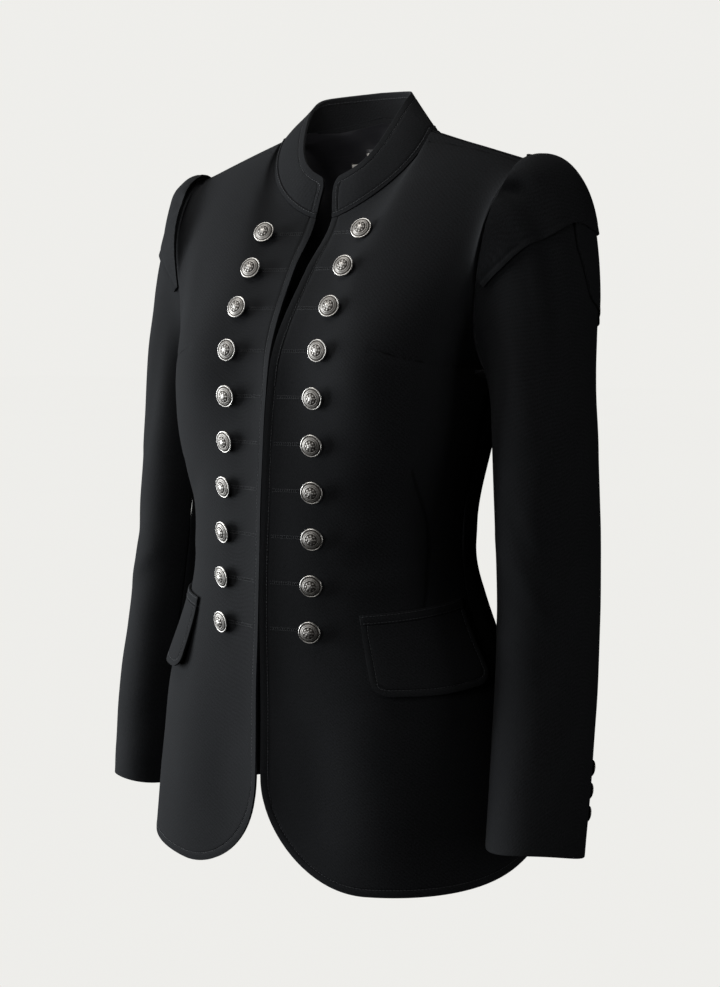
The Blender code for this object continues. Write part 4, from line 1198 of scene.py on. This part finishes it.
collarTop = {
    "turn": [0, 45, 90, 135, 180, 225, 270],
    "x": [0.0042, 0.0375, 0.0515, 0.0430, 0.0, -0.0430, -0.0515],
    "y": [-0.0325, -0.0210, 0.0100, 0.0370, 0.0520, 0.0370, 0.0100],
    "z": [-0.0415, -0.0185, 0.0260, 0.0415, 0.0450, 0.0415, 0.0260],
}
collarLook = {
    "corner": 0.012,
    "height": 0.036,
    "bow": 0.0012,
    "strip": 0.0050,
    "stripRise": 0.00055,
    "topInset": 0.0065,
}
collarAt = splines(collarTop, "turn")


def collarShape(turn, rise):
    base = neckline(turn)
    top = np.stack([collarAt[key](turn) for key in ("x", "y", "z")], -1)
    bow = (np.sin(math.pi * rise) * collarLook["bow"])[..., None]
    way = unit(np.stack([np.sin(np.radians(turn)), -np.cos(np.radians(turn)), 0 * turn], -1))
    return base + (top - base) * rise[..., None] + way * bow


def collarEnd(turns, endTurn):
    lean = np.clip(1 - turns / endTurn, 0, 1)
    return 1 - collarLook["corner"] / collarLook["height"] * (1 - np.sqrt(1 - lean**2))


def makeCollar():
    look = collarLook
    endTurn = frontNeckTurn(np.array([0.03]))[0]
    perTurn = 0.0018
    near = besideStitch / perTurn
    turns = np.concatenate([near, np.linspace(near[-1], 180, 86)[1:]])
    most = collarEnd(turns, endTurn)
    low = gap["seam"] / look["height"]
    height = np.linalg.norm(collarShape(turns, 0 * turns + 1) - collarShape(turns, 0 * turns), axis=-1)
    fromFoot = np.array([0, 0.0010, 0.0025, 0.0040, 0.0047, 0.0052, 0.0057, 0.0066, 0.0080])
    fromTop = np.array([0.0110, 0.0092, 0.0080, 0.0072, 0.0066, 0.0061, 0.0053, 0.0040, 0.0022, 0.0010, 0])
    foot = low + fromFoot[:, None] / height
    top = most - fromTop[:, None] / height
    middle = foot[-1] + (top[0] - foot[-1]) * np.linspace(0, 1, 16)[1:-1, None]
    rise = np.concatenate([foot, middle, top])
    turn = np.broadcast_to(turns, rise.shape)
    points = collarShape(turn, rise)
    normals = gridNormals(points, np.array([0.0, 0.005, 0.0]))
    topLine = closer(collarShape(turns, most))
    endLine = closer(collarShape(np.zeros(60), np.linspace(low, most[0], 60)))
    away = lineDistance(points, np.concatenate([topLine, endLine]))
    footAway = (rise - low) * height
    strip = look["stripRise"] * ease(look["strip"] + 0.0003, look["strip"] - 0.0004, footAway)
    seam = 0.00035 * bell(footAway, look["strip"] + 0.0004, 0.0004)
    groove = 0.00030 * bell(away, look["topInset"], 0.0008) * ease(0.004, 0.006, footAway)
    wave = 0.0007 * np.sin(np.radians(turn) * 5.0 + 0.6) * np.sin(math.pi * rise) * ease(8, 30, turn)
    points += normals * (strip - seam - groove + wave)[..., None]
    # the twill reads this distance for its painted highlight by the top edge and its painted shade in the top
    # groove and at the strip's seam
    edge = np.where(footAway > 0.0055, (away - look["topInset"] + stitchInset) * 1000, farFromSewing)
    atStrip = (footAway - look["strip"] - 0.0002 + stitchInset) * 1000
    edge = np.where(np.abs(footAway - look["strip"]) < 0.0010, atStrip, edge)
    points = np.concatenate([points * mirror, points[:, -2::-1]], axis=1)
    normals = np.concatenate([normals * mirror, normals[:, -2::-1]], axis=1)
    edge = np.concatenate([edge, edge[:, -2::-1]], axis=1)
    piece = clothPiece("collar_band", points, normals, cloth["collar"], [blackTwill], 0.0007, edge=edge)
    dress(piece, "collar", "hung", ["front_panel_left", "front_panel_right"])
    tree = treeOf(piece)
    runs = []
    for flip in (flips["right"], flips["left"]):
        ends = np.linspace(0.0, 0.80, 14)
        endRun = collarShape(np.full(14, look["topInset"] / perTurn), low + (most[0] - low) * (0.16 + ends))
        firstTurn = look["topInset"] / perTurn * 1.15
        topTurns = np.concatenate([np.linspace(firstTurn, 20, 30), np.linspace(21, 180, 160)])
        topHeight = np.interp(topTurns, turns, height)
        topMost = np.interp(topTurns, turns, most)
        topRun = collarShape(topTurns, topMost - look["topInset"] / topHeight)
        footTurns = np.linspace(1.2, 180, 200)
        footHeight = np.interp(footTurns, turns, height)
        footRun = collarShape(footTurns, low + (look["strip"] - 0.0011) / footHeight)
        for line in (np.concatenate([endRun, topRun]), footRun):
            runs += alongLine(tree, line * flip)
        centre = np.array([0.0, 0.008, 0.0])
        moved = topRun + unit((centre - topRun) * np.array([1, 1, 0])) * 0.004
        runs += alongLine(tree, moved * flip)
    sewStitches("collar_stitching", runs, piece.name)


makeCollar()
print("collar made")


# Pockets

pocket = {
    "top": -0.4260,
    "rise": 0.0085,
    "welt": 0.0090,
    "height": 0.0640,
    "corner": 0.015,
    "flare": 0.0045,
    "slant": 0.0040,
    "from": 0.62,
    "to": 0.9976,
    "inset": 0.0055,
}


def alongAt(share, z):
    low = foot(share, True)
    chest = section(share, np.full(np.shape(share), body["chestZ"]), True)
    rise = np.linalg.norm(topEdge(share, body["frontNeckShare"], frontNeckTurn, 1) - chest, axis=-1)
    split = (body["chestZ"] - low) / (body["chestZ"] - low + 1.05 * rise)
    return split * (z - low) / (body["chestZ"] - low)


def onFront(tree, share, z, flip):
    points = frontShape(share, alongAt(share, z))
    for place in np.ndindex(points.shape[:-1]):
        points[place] = tree.find_nearest(Vector(points[place] * flip))[0][:]
    return points


def makePocket(side):
    look = pocket
    flip = flips[side]
    tree = treeOf(fronts[side])
    line = lambda share: section(share, np.full(share.shape, look["top"]), True)
    dense = np.linspace(look["from"], look["to"], 300)
    run = runAlong(line(dense))
    length = run[-1]
    beside = np.array([0, 0.0009, 0.0020, 0.0034, 0.0044, 0.0050, 0.0055, 0.0060, 0.0068, 0.0085])
    across = np.concatenate([beside, np.linspace(0.0105, length - 0.0105, 34), length - beside[::-1]])
    shares = np.interp(across, run, dense)
    # welt
    fromTop = np.array([look["welt"], 0.0083, 0.0076, 0.0068, 0.0050, 0.0030, 0.0016, 0.0008, 0.0])
    rise = look["rise"] * across / length
    z = look["top"] + rise - fromTop[:, None]
    share = np.broadcast_to(shares, z.shape)
    points = onFront(tree, share, z, flip)
    base = frontShape(share, alongAt(share, z)) * flip
    smooth = gridNormals(base, np.array([0.05, 0.0, -0.45]) * flip)
    inner = np.minimum(across, length - across)[None, :]
    rim = np.minimum(fromTop, look["welt"] - fromTop)[:, None]
    crown = 0.0003 * ease(0.0, 0.0025, rim) - 0.00022 * bell(rim, 0.0016, 0.0004)
    crown = crown - 0.0003 * ease(0.003, 0.0, inner)
    proud = np.sum((points - base) * smooth, axis=-1)
    points = base + smooth * (proud + gap["pocket"] + cloth["pocket"] + crown)[..., None]
    piece = clothPiece("pocket_strip_" + side, points, smooth, cloth["pocket"], [blackTwill])
    dress(piece, "pocket_welt_" + side, "laid", ["front_panel_" + side])
    weltTree = treeOf(piece)
    runs = []
    for rowPlace in (0.0016, 0.0076):
        row = np.argmin(np.abs(fromTop - rowPlace))
        runs += alongLine(weltTree, closer(points[row, 2:-2], 0.002))
    sewStitches("welt_stitching_" + side, runs, piece.name)
    # flap
    steps = across / length
    corner = look["corner"] / length
    lean = np.clip(1 - np.minimum(steps, 1 - steps) / corner, 0, 1)
    most = 1 - look["corner"] / look["height"] * (1 - np.sqrt(1 - lean**2))
    between = np.linspace(0.004, look["height"] - 0.0095, 22)
    down = np.concatenate([[0, 0.0008, 0.002], between, look["height"] - beside[::-1]])
    drop = most * (down / look["height"])[::-1, None]
    top = look["top"] + rise - look["welt"] - gap["seam"]
    share = np.broadcast_to(shares, drop.shape)
    points = onFront(tree, share, top - look["height"] * drop, flip)
    base = frontShape(share, alongAt(share, top - look["height"] * drop)) * flip
    smooth = gridNormals(base, np.array([0.05, 0.0, -0.45]) * flip)
    proud = np.maximum(np.sum((points - base) * smooth, axis=-1), 0)
    slant = look["slant"] * drop * (1 - ease(0, 0.6, steps))
    base = base + slant[..., None] * unit(base[:, :1] - base[:, 1:2])
    lift = gap["pocket"] + look["flare"] * drop**1.4 + cloth["pocket"]
    rims = (base[0], base[:, 0], base[:, -1])
    edge = np.min([lineDistance(base, closer(line)) for line in rims], axis=0)
    groove = 0.00035 * bell(edge, look["inset"], 0.0009) - 0.00025 * bell(edge, look["inset"] * 0.5, 0.002)
    sag = 0.0009 * np.sin(steps * math.pi * 2.2 + 0.7) * drop
    points = base + smooth * (proud + lift - groove + sag)[..., None]
    # the twill reads this distance for its painted shade in the stitch groove and its painted highlight by the
    # flap's rims
    sewn = (edge - look["inset"] + stitchInset) * 1000
    piece = clothPiece("pocket_cover_" + side, points, smooth, cloth["pocket"], [blackTwill], 0.0006, edge=sewn)
    dress(piece, "pocket_flap_" + side, "hung", ["pocket_strip_" + side])
    flapTree = treeOf(piece)
    columnIn = np.argmin(np.abs(across - look["inset"]))
    columnOut = len(across) - 1 - columnIn
    rowIn = np.argmin(np.abs(down[::-1] - (look["height"] - look["inset"])))
    lower = points[rowIn, columnIn : columnOut + 1]
    path = np.concatenate([points[: rowIn - 1 : -1, columnIn], lower, points[rowIn:, columnOut]])
    sewStitches("flap_stitching_" + side, alongLine(flapTree, closer(path, 0.002)), piece.name)


for side in flips:
    makePocket(side)
print("pockets made")


# Inside of the back: satin lining, label, hanging loop and a small tab

liningLook = {
    "share": 0.70,
    "foot": -0.170,
    "facing": 0.0095,
    "inCollar": 0.16,
    "collarDepth": 0.0033,
    "labelWidth": 0.084,
    "labelTop": -0.0190,
    "labelHeight": 0.025,
}
loopLook = {"x": -0.019, "top": -0.006, "length": 0.028, "width": 0.007, "slack": 0.0012}


def makeLining():
    look = liningLook
    shares = np.linspace(0, look["share"], 60)
    alongs = np.linspace(0, 1, 400)
    low = alongs[np.argmax(backShape(np.zeros(400), alongs)[:, 2] > look["foot"])]
    share, along = np.meshgrid(shares, np.linspace(low, 1, 80))
    points = backShape(share, along)
    normals = gridNormals(points, np.array([0.0, 0.0, -0.2]))
    points = np.concatenate([points[:, :0:-1] * mirror, points], axis=1)
    normals = np.concatenate([normals[:, :0:-1] * mirror, normals], axis=1)
    x, z = points[..., 0], points[..., 2]
    folds = 0.0016 * bell(x, 0.0, 0.006) + 0.0011 * np.sin(x * 150 + z * 60)
    folds = np.maximum(folds + 0.0010 * np.sin(x * 90 - z * 130 + 1.0) + 0.0012, 0)
    folds = folds * ease(0.0, 0.015, 0.017 - z) * ease(look["foot"], look["foot"] + 0.02, z)
    depth = cloth["body"] + gap["layer"] + folds
    points = points - normals * depth[..., None]
    # the top is carried up inside the collar, and stays level at the shoulders
    rim = np.concatenate([-shares[:0:-1], shares])
    turns = backNeckTurn(np.abs(rim))
    atNeck = ease(body["backNeckShare"], body["backNeckShare"] - 0.10, np.abs(rim))[:, None]
    side = np.where(rim < 0, -1.0, 1.0)[:, None] * np.array([1, 0, 0]) + np.array([0, 1, 1])
    way = np.stack([np.sin(np.radians(turns)), -np.cos(np.radians(turns)), 0 * turns], -1)
    top, topNormals = points[-1], normals[-1]
    low, high = (collarShape(turns, 0 * turns + share)[:, 2] for share in (0, look["inCollar"]))
    rise = np.clip((look["facing"] - low) / (high - low), 0.05, 0.95)
    for step in (rise / 2, rise, (rise + 1) / 2, 1 + 0 * rise):
        inCollar = (collarShape(turns, look["inCollar"] * step) - way * look["collarDepth"]) * side
        level = top + np.array([0, 0, 0.0003]) * step[:, None]
        points = np.concatenate([points, (inCollar * atNeck + level * (1 - atNeck))[None]])
        normals = np.concatenate([normals, topNormals[None]])
    piece = clothPiece("back_satin", points, normals, cloth["lining"], [darkSatin], 0)
    piece.data.materials.append(blackTwill)
    seam = points[-3]
    for face in piece.data.polygons:
        if face.center.z > np.interp(face.center.x, seam[:, 0], seam[:, 2]):
            face.material_index = 1
    dress(piece, "back_lining", "hung", ["back_panel_left", "back_panel_right"])
    return piece


def insidePatch(tree, xs, zs):
    x, z = np.meshgrid(xs, zs)
    points, normals = np.empty((*x.shape, 3)), np.empty((*x.shape, 3))
    for place in np.ndindex(x.shape):
        spot, normal, _, _ = tree.ray_cast(Vector((x[place], -0.02, z[place])), Vector((0, 1, 0)))
        points[place], normals[place] = np.array(spot), -np.array(normal)
    return points, normals


def makeInsideTrim(lining):
    look = liningLook
    tree = treeOf(lining)
    xs = np.linspace(-look["labelWidth"] / 2, look["labelWidth"] / 2, 60)
    zs = look["labelTop"] - look["labelHeight"] * np.linspace(1, 0, 26)
    points, normals = insidePatch(tree, xs, zs)
    even = unit(normals.mean(axis=(0, 1)))
    points = points - normals * gap["label"]
    fromEnds = look["labelWidth"] / 2 - np.abs(xs)
    fromRims = np.minimum(zs - zs[0], zs[-1] - zs)
    inner = np.minimum(fromEnds[None, :], fromRims[:, None])
    points = points - even * (0.00025 * ease(0.0, 0.002, inner))[..., None]
    piece = clothPiece("blank_label", points, normals, cloth["label"], [labelTape], 0.0002)
    dress(piece, "neck_label", "laid", ["back_satin"])
    loop = loopLook
    xs = loop["x"] + loop["width"] * np.linspace(-0.5, 0.5, 9)
    zs = loop["top"] - loop["length"] * np.linspace(1, 0, 40)
    points, normals = insidePatch(tree, xs, zs)
    share = np.linspace(1, 0, 40)[:, None]
    lift = gap["label"] * 2 + cloth["label"] + (loop["slack"] + 0.0012) * np.sin(math.pi * share) ** 0.8
    bulge = 0.0003 * np.cos(np.linspace(-0.5, 0.5, 9) * math.pi)[None, :]
    points = points - normals * (lift + bulge)[..., None]
    piece = clothPiece("loop_strip", points, normals, cloth["lining"], [darkSatin], 0.0002)
    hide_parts("hanger_loop")
    sewOn(piece, "back_satin")
    # small pale tab over the loop
    xs = loop["x"] + 0.0045 * np.linspace(-0.5, 0.5, 7)
    zs = loop["top"] - 0.0030 - 0.0055 * np.linspace(1, 0, 12)
    points, normals = insidePatch(tree, xs, zs)
    points = points - normals * 0.0052
    piece = clothPiece("loop_tab", points, normals, 0.0006, [labelTape], 0.0001)
    sewOn(piece, "back_satin")


lining = makeLining()
makeInsideTrim(lining)
print("inside trim made")


# Buttons: one chased dome with its shank is drawn out ring by ring, then copied to each place

button = {
    "sides": 96,
    "radius": [
        3.0, 3.0, 3.2, 6.0, 9.2, 9.8, 10.0, 10.0, 9.7, 9.3, 8.9, 8.6, 8.2, 7.5,
        6.9, 6.6, 6.2, 5.8, 5.4, 5.1, 4.6, 3.6, 2.9, 2.5, 1.6, 0.8, 0.2,
    ],
    "height": [
        0.0, 2.2, 2.6, 3.0, 3.3, 3.6, 4.0, 4.6, 5.05, 5.2, 5.0, 4.85, 5.1, 5.55,
        5.85, 5.75, 6.1, 6.35, 6.35, 6.2, 6.6, 7.1, 7.15, 7.35, 7.65, 7.8, 7.82,
    ],
    "step": 0.20,
    "crest": {
        "radius": [0.0, 3.0, 4.5, 6.0, 7.5, 8.8, 9.6, 10.0],
        "height": [8.0, 7.6, 7.05, 6.45, 5.85, 5.35, 5.05, 4.6],
    },
    "droop": 11.0,
    "topTurn": 14.0,
    "turnOut": 6.0,
}
buttonLine = {
    "z": [-0.460, -0.350, -0.240, -0.190, -0.120, -0.089],
    "x": [0.0478, 0.0482, 0.0478, 0.0503, 0.0520, 0.0547],
}
buttonAt = splines(buttonLine, "z")
buttonRow = {"count": 10, "pitch": 0.0408, "top": -0.0920}
cuffRow = {"count": 3, "pitch": 0.0185, "rise": 0.020, "turn": -57.0, "scale": 0.75}


def buttonModel():
    rough = np.array([button["radius"], button["height"]]).T
    run = runAlong(rough)
    places = np.linspace(0, run[-1], int(run[-1] / button["step"]))
    rings = np.column_stack([np.interp(places, run, rough[:, 0]), np.interp(places, run, rough[:, 1])]) / 1000
    deselect()
    bpy.ops.mesh.primitive_circle_add(vertices=button["sides"], radius=rings[0, 0], fill_type="NGON")
    piece = bpy.context.active_object
    bpy.ops.object.mode_set(mode="EDIT")
    bpy.ops.mesh.select_mode(type="FACE")
    bpy.ops.mesh.select_all(action="SELECT")
    for (radius, height), (nextRadius, nextHeight) in zip(rings[:-1], rings[1:]):
        drawOut(nextHeight - height, nextRadius / radius)
    bpy.ops.object.mode_set(mode="OBJECT")
    evenNormals(piece)
    # the chased relief: petals on the dome, a rope round it and beads at the rim
    corners = np.array([corner.co[:] for corner in piece.data.vertices]) * 1000
    radius, turn = np.hypot(corners[:, 0], corners[:, 1]), np.arctan2(corners[:, 1], corners[:, 0])
    petals = 0.20 * bell(radius, 4.1, 0.8) * np.cos(turn * 8) + 0.16 * bell(radius, 2.3, 0.6) * np.cos(turn * 5)
    rope = 0.10 * bell(radius, 5.6, 0.45) * np.cos(turn * 32 + radius * 3)
    beads = 0.09 * bell(radius, 7.6, 0.5) * np.cos(turn * 40) + 0.06 * bell(radius, 9.4, 0.3) * np.cos(turn * 60)
    front = corners[:, 2] > 4.3
    corners[:, 2] += (petals + rope + beads) * front
    crest = np.interp(radius, button["crest"]["radius"], button["crest"]["height"])
    hollow = np.where(front, np.clip((crest - corners[:, 2]) / 0.50, 0, 1), 0.85)
    piece.data.vertices.foreach_set("co", (corners / 1000).reshape(-1))
    stored = piece.data.attributes.new("hollow", "FLOAT", "POINT")
    stored.data.foreach_set("value", hollow.astype(np.float32))
    piece.data.materials.append(buttonSilver)
    bpy.ops.object.shade_smooth_by_angle(angle=math.radians(50))
    return piece


buttonPiece = buttonModel()


def placeButton(name, node, spot, normal, droop, turnOut, scale):
    deselect()
    buttonPiece.select_set(True)
    bpy.context.view_layer.objects.active = buttonPiece
    bpy.ops.object.duplicate()
    piece = bpy.context.active_object
    piece.name = name
    piece.data.name = name
    tilt = math.radians(droop)
    aside = np.array([math.copysign(math.tan(math.radians(turnOut)), spot[0]), 0, 0])
    level = unit(unit(normal * np.array([1, 1, 0])) + aside)
    pitch = math.asin(normal[2]) - tilt
    facing = level * math.cos(pitch) + np.array([0, 0, math.sin(pitch)])
    side = unit(np.cross(np.array([0, 0, 1.0]), facing))
    up = np.cross(facing, side)
    middle = spot + normal * (gap["seam"] + 0.003 * scale * math.sin(tilt))
    axes = np.column_stack([side * scale, up * scale, facing * scale, middle])
    piece.matrix_world = Matrix([*axes.tolist(), [0, 0, 0, 1]])
    bpy.ops.object.transform_apply(location=True, rotation=True, scale=True)
    dress(piece, node)


def makeFrontButtons():
    heights = np.linspace(buttonRow["top"], buttonRow["top"] - 0.40, 80)
    for side, flip in flips.items():
        tree = treeOf(fronts[side])
        line = seenFromFront(tree, [(buttonAt["x"](z) * flip[0], z) for z in heights])
        run = runAlong(line)
        runs = []
        for number in range(buttonRow["count"]):
            z = float(np.interp(number * buttonRow["pitch"], run, heights))
            spot, normal, _, _ = tree.ray_cast(Vector((buttonAt["x"](z) * flip[0], -1, z)), Vector((0, 1, 0)))
            node = f"button_{side}_{number + 1:02d}"
            turnOut = button["turnOut"] + (button["topTurn"] * ease(-0.20, -0.11, z) if side == "left" else 0)
            placeButton("dome_" + node, node, np.array(spot), np.array(normal), button["droop"], turnOut, 1.0)
            # worked buttonhole: two rows of small stitches towards the edge, with ticks across them
            start = float(buttonAt["x"](z)) - 0.004
            end = float(slitAt["half"](z)) + 0.0085 if z < -0.20 else None
            if end is None:
                edgePoint = frontShape(np.zeros(200), np.linspace(0.5, 1, 200))
                end = float(np.interp(z, edgePoint[:, 2], edgePoint[:, 0])) + 0.0085
            xs = np.linspace(start, end, 40)
            for shift in (-0.0012, 0.0012):
                row = seenFromFront(tree, [(x * flip[0], z + shift) for x in xs])
                runs += alongLine(tree, row, 0.0017, 0.0014)
            ticks = np.arange(start - 0.008, end + 0.002, -0.0021)
            for x in ticks:
                row = seenFromFront(tree, [(x * flip[0], z + shift) for shift in (-0.0012, 0.0, 0.0012)])
                runs += alongLine(tree, row, 0.0022, 0.0020)
        sewStitches("buttonhole_stitching_" + side, runs, fronts[side].name, fineStitch)


def makeCuffButtons(side):
    flip = flips[side]
    turn = cuffRow["turn"]
    for number in range(cuffRow["count"]):
        height = sleeve["cuffZ"][side] + cuffRow["rise"] + number * cuffRow["pitch"]
        share = shareAtHeight(side, [turn], [height])
        points, normals = sleeveShape(side, np.array([turn, turn]), np.repeat(share, 2))
        node = f"cuff_button_{side}_{number + 1}"
        placeButton("dome_" + node, node, points[0] * flip, unit(normals[0] * flip), 0.0, 0.0, cuffRow["scale"])


makeFrontButtons()
makeCuffButtons("left")
makeCuffButtons("right")
bpy.data.objects.remove(buttonPiece, do_unlink=True)
print("buttons made")


# Floor, light and camera

stageLook = {"floorZ": -1.45, "pale": (0.86, 0.855, 0.83)}


def makeStage():
    deselect()
    bpy.ops.mesh.primitive_plane_add(size=60, location=(0, 0, stageLook["floorZ"]))
    floor = bpy.context.active_object
    floor.name = "pale_floor"
    shader = Shader("pale_paper", {"Roughness": 1.0, "Specular IOR Level": 0.0, "Emission Strength": 1.0})
    shade = shader.noise(shader.place(), 0.4, 2.0)
    pale = stageLook["pale"]
    colour = shader.mix(shade, pale, tuple(value * 0.99 for value in pale))
    floor.data.materials.append(shader.finishWith(Base_Color=(0.0, 0.0, 0.0), Emission_Color=colour))
    floor.visible_diffuse = False
    floor.visible_glossy = False
    world = bpy.data.worlds.new("studio")
    bpy.context.scene.world = world
    world.use_nodes = True
    background = world.node_tree.nodes["Background"]
    background.inputs["Color"].default_value = (*pale, 1)
    background.inputs["Strength"].default_value = 1.0
    world.cycles_visibility.diffuse = False
    world.cycles_visibility.glossy = False


def addLight(name, place, target, size, power, colour=(1, 1, 1)):
    light = bpy.data.lights.new(name, "AREA")
    light.shape = "RECTANGLE"
    light.size, light.size_y = size
    light.energy = power
    light.color = colour
    lamp = bpy.data.objects.new(name, light)
    lamp.visible_camera = False
    bpy.context.scene.collection.objects.link(lamp)
    lamp.location = place
    way = Vector(target) - Vector(place)
    lamp.rotation_euler = way.to_track_quat("-Z", "Y").to_euler()


cameraLook = {
    "turn": 34.0,
    "pitch": 5.68,
    "away": 1.6,
    "aside": 0.0094,
    "height": -0.175,
    "focal": 1694.0,
    "frame": 987.0,
}


def makeCamera():
    look = cameraLook
    turn = math.radians(look["turn"])
    data = bpy.data.cameras.new("camera")
    data.sensor_width = 36.0
    data.lens = look["focal"] / look["frame"] * data.sensor_width
    data.clip_end = 100.0
    camera = bpy.data.objects.new("camera", data)
    bpy.context.scene.collection.objects.link(camera)
    x = look["away"] * math.sin(turn) + look["aside"] * math.cos(turn)
    y = -look["away"] * math.cos(turn) + look["aside"] * math.sin(turn)
    camera.location = (x, y, look["height"])
    camera.rotation_euler = (math.radians(90 - look["pitch"]), 0, turn)
    bpy.context.scene.camera = camera


declareSheets()
makeStage()
addLight("key", (-2.30, -1.10, -0.25), (0, -0.05, -0.45), (1.4, 1.6), 112, (0.93, 0.97, 1.0))
addLight("front", (0.15, -2.4, 0.30), (0, 0, -0.35), (1.2, 1.4), 14)
addLight("top", (-0.75, -0.6, 1.5), (0, 0, -0.1), (1.2, 1.0), 22, (1.0, 0.99, 0.97))
addLight("neck", (0.0, -0.01, 0.045), (-0.02, 0.058, -0.03), (0.03, 0.03), 0.03, (1.0, 0.98, 0.95))
addLight("rim", (1.7, 0.35, -0.35), (0.23, 0, -0.55), (0.5, 1.0), 5)
makeCamera()
bpy.context.scene.view_settings.view_transform = "Standard"
print("stage and camera made")
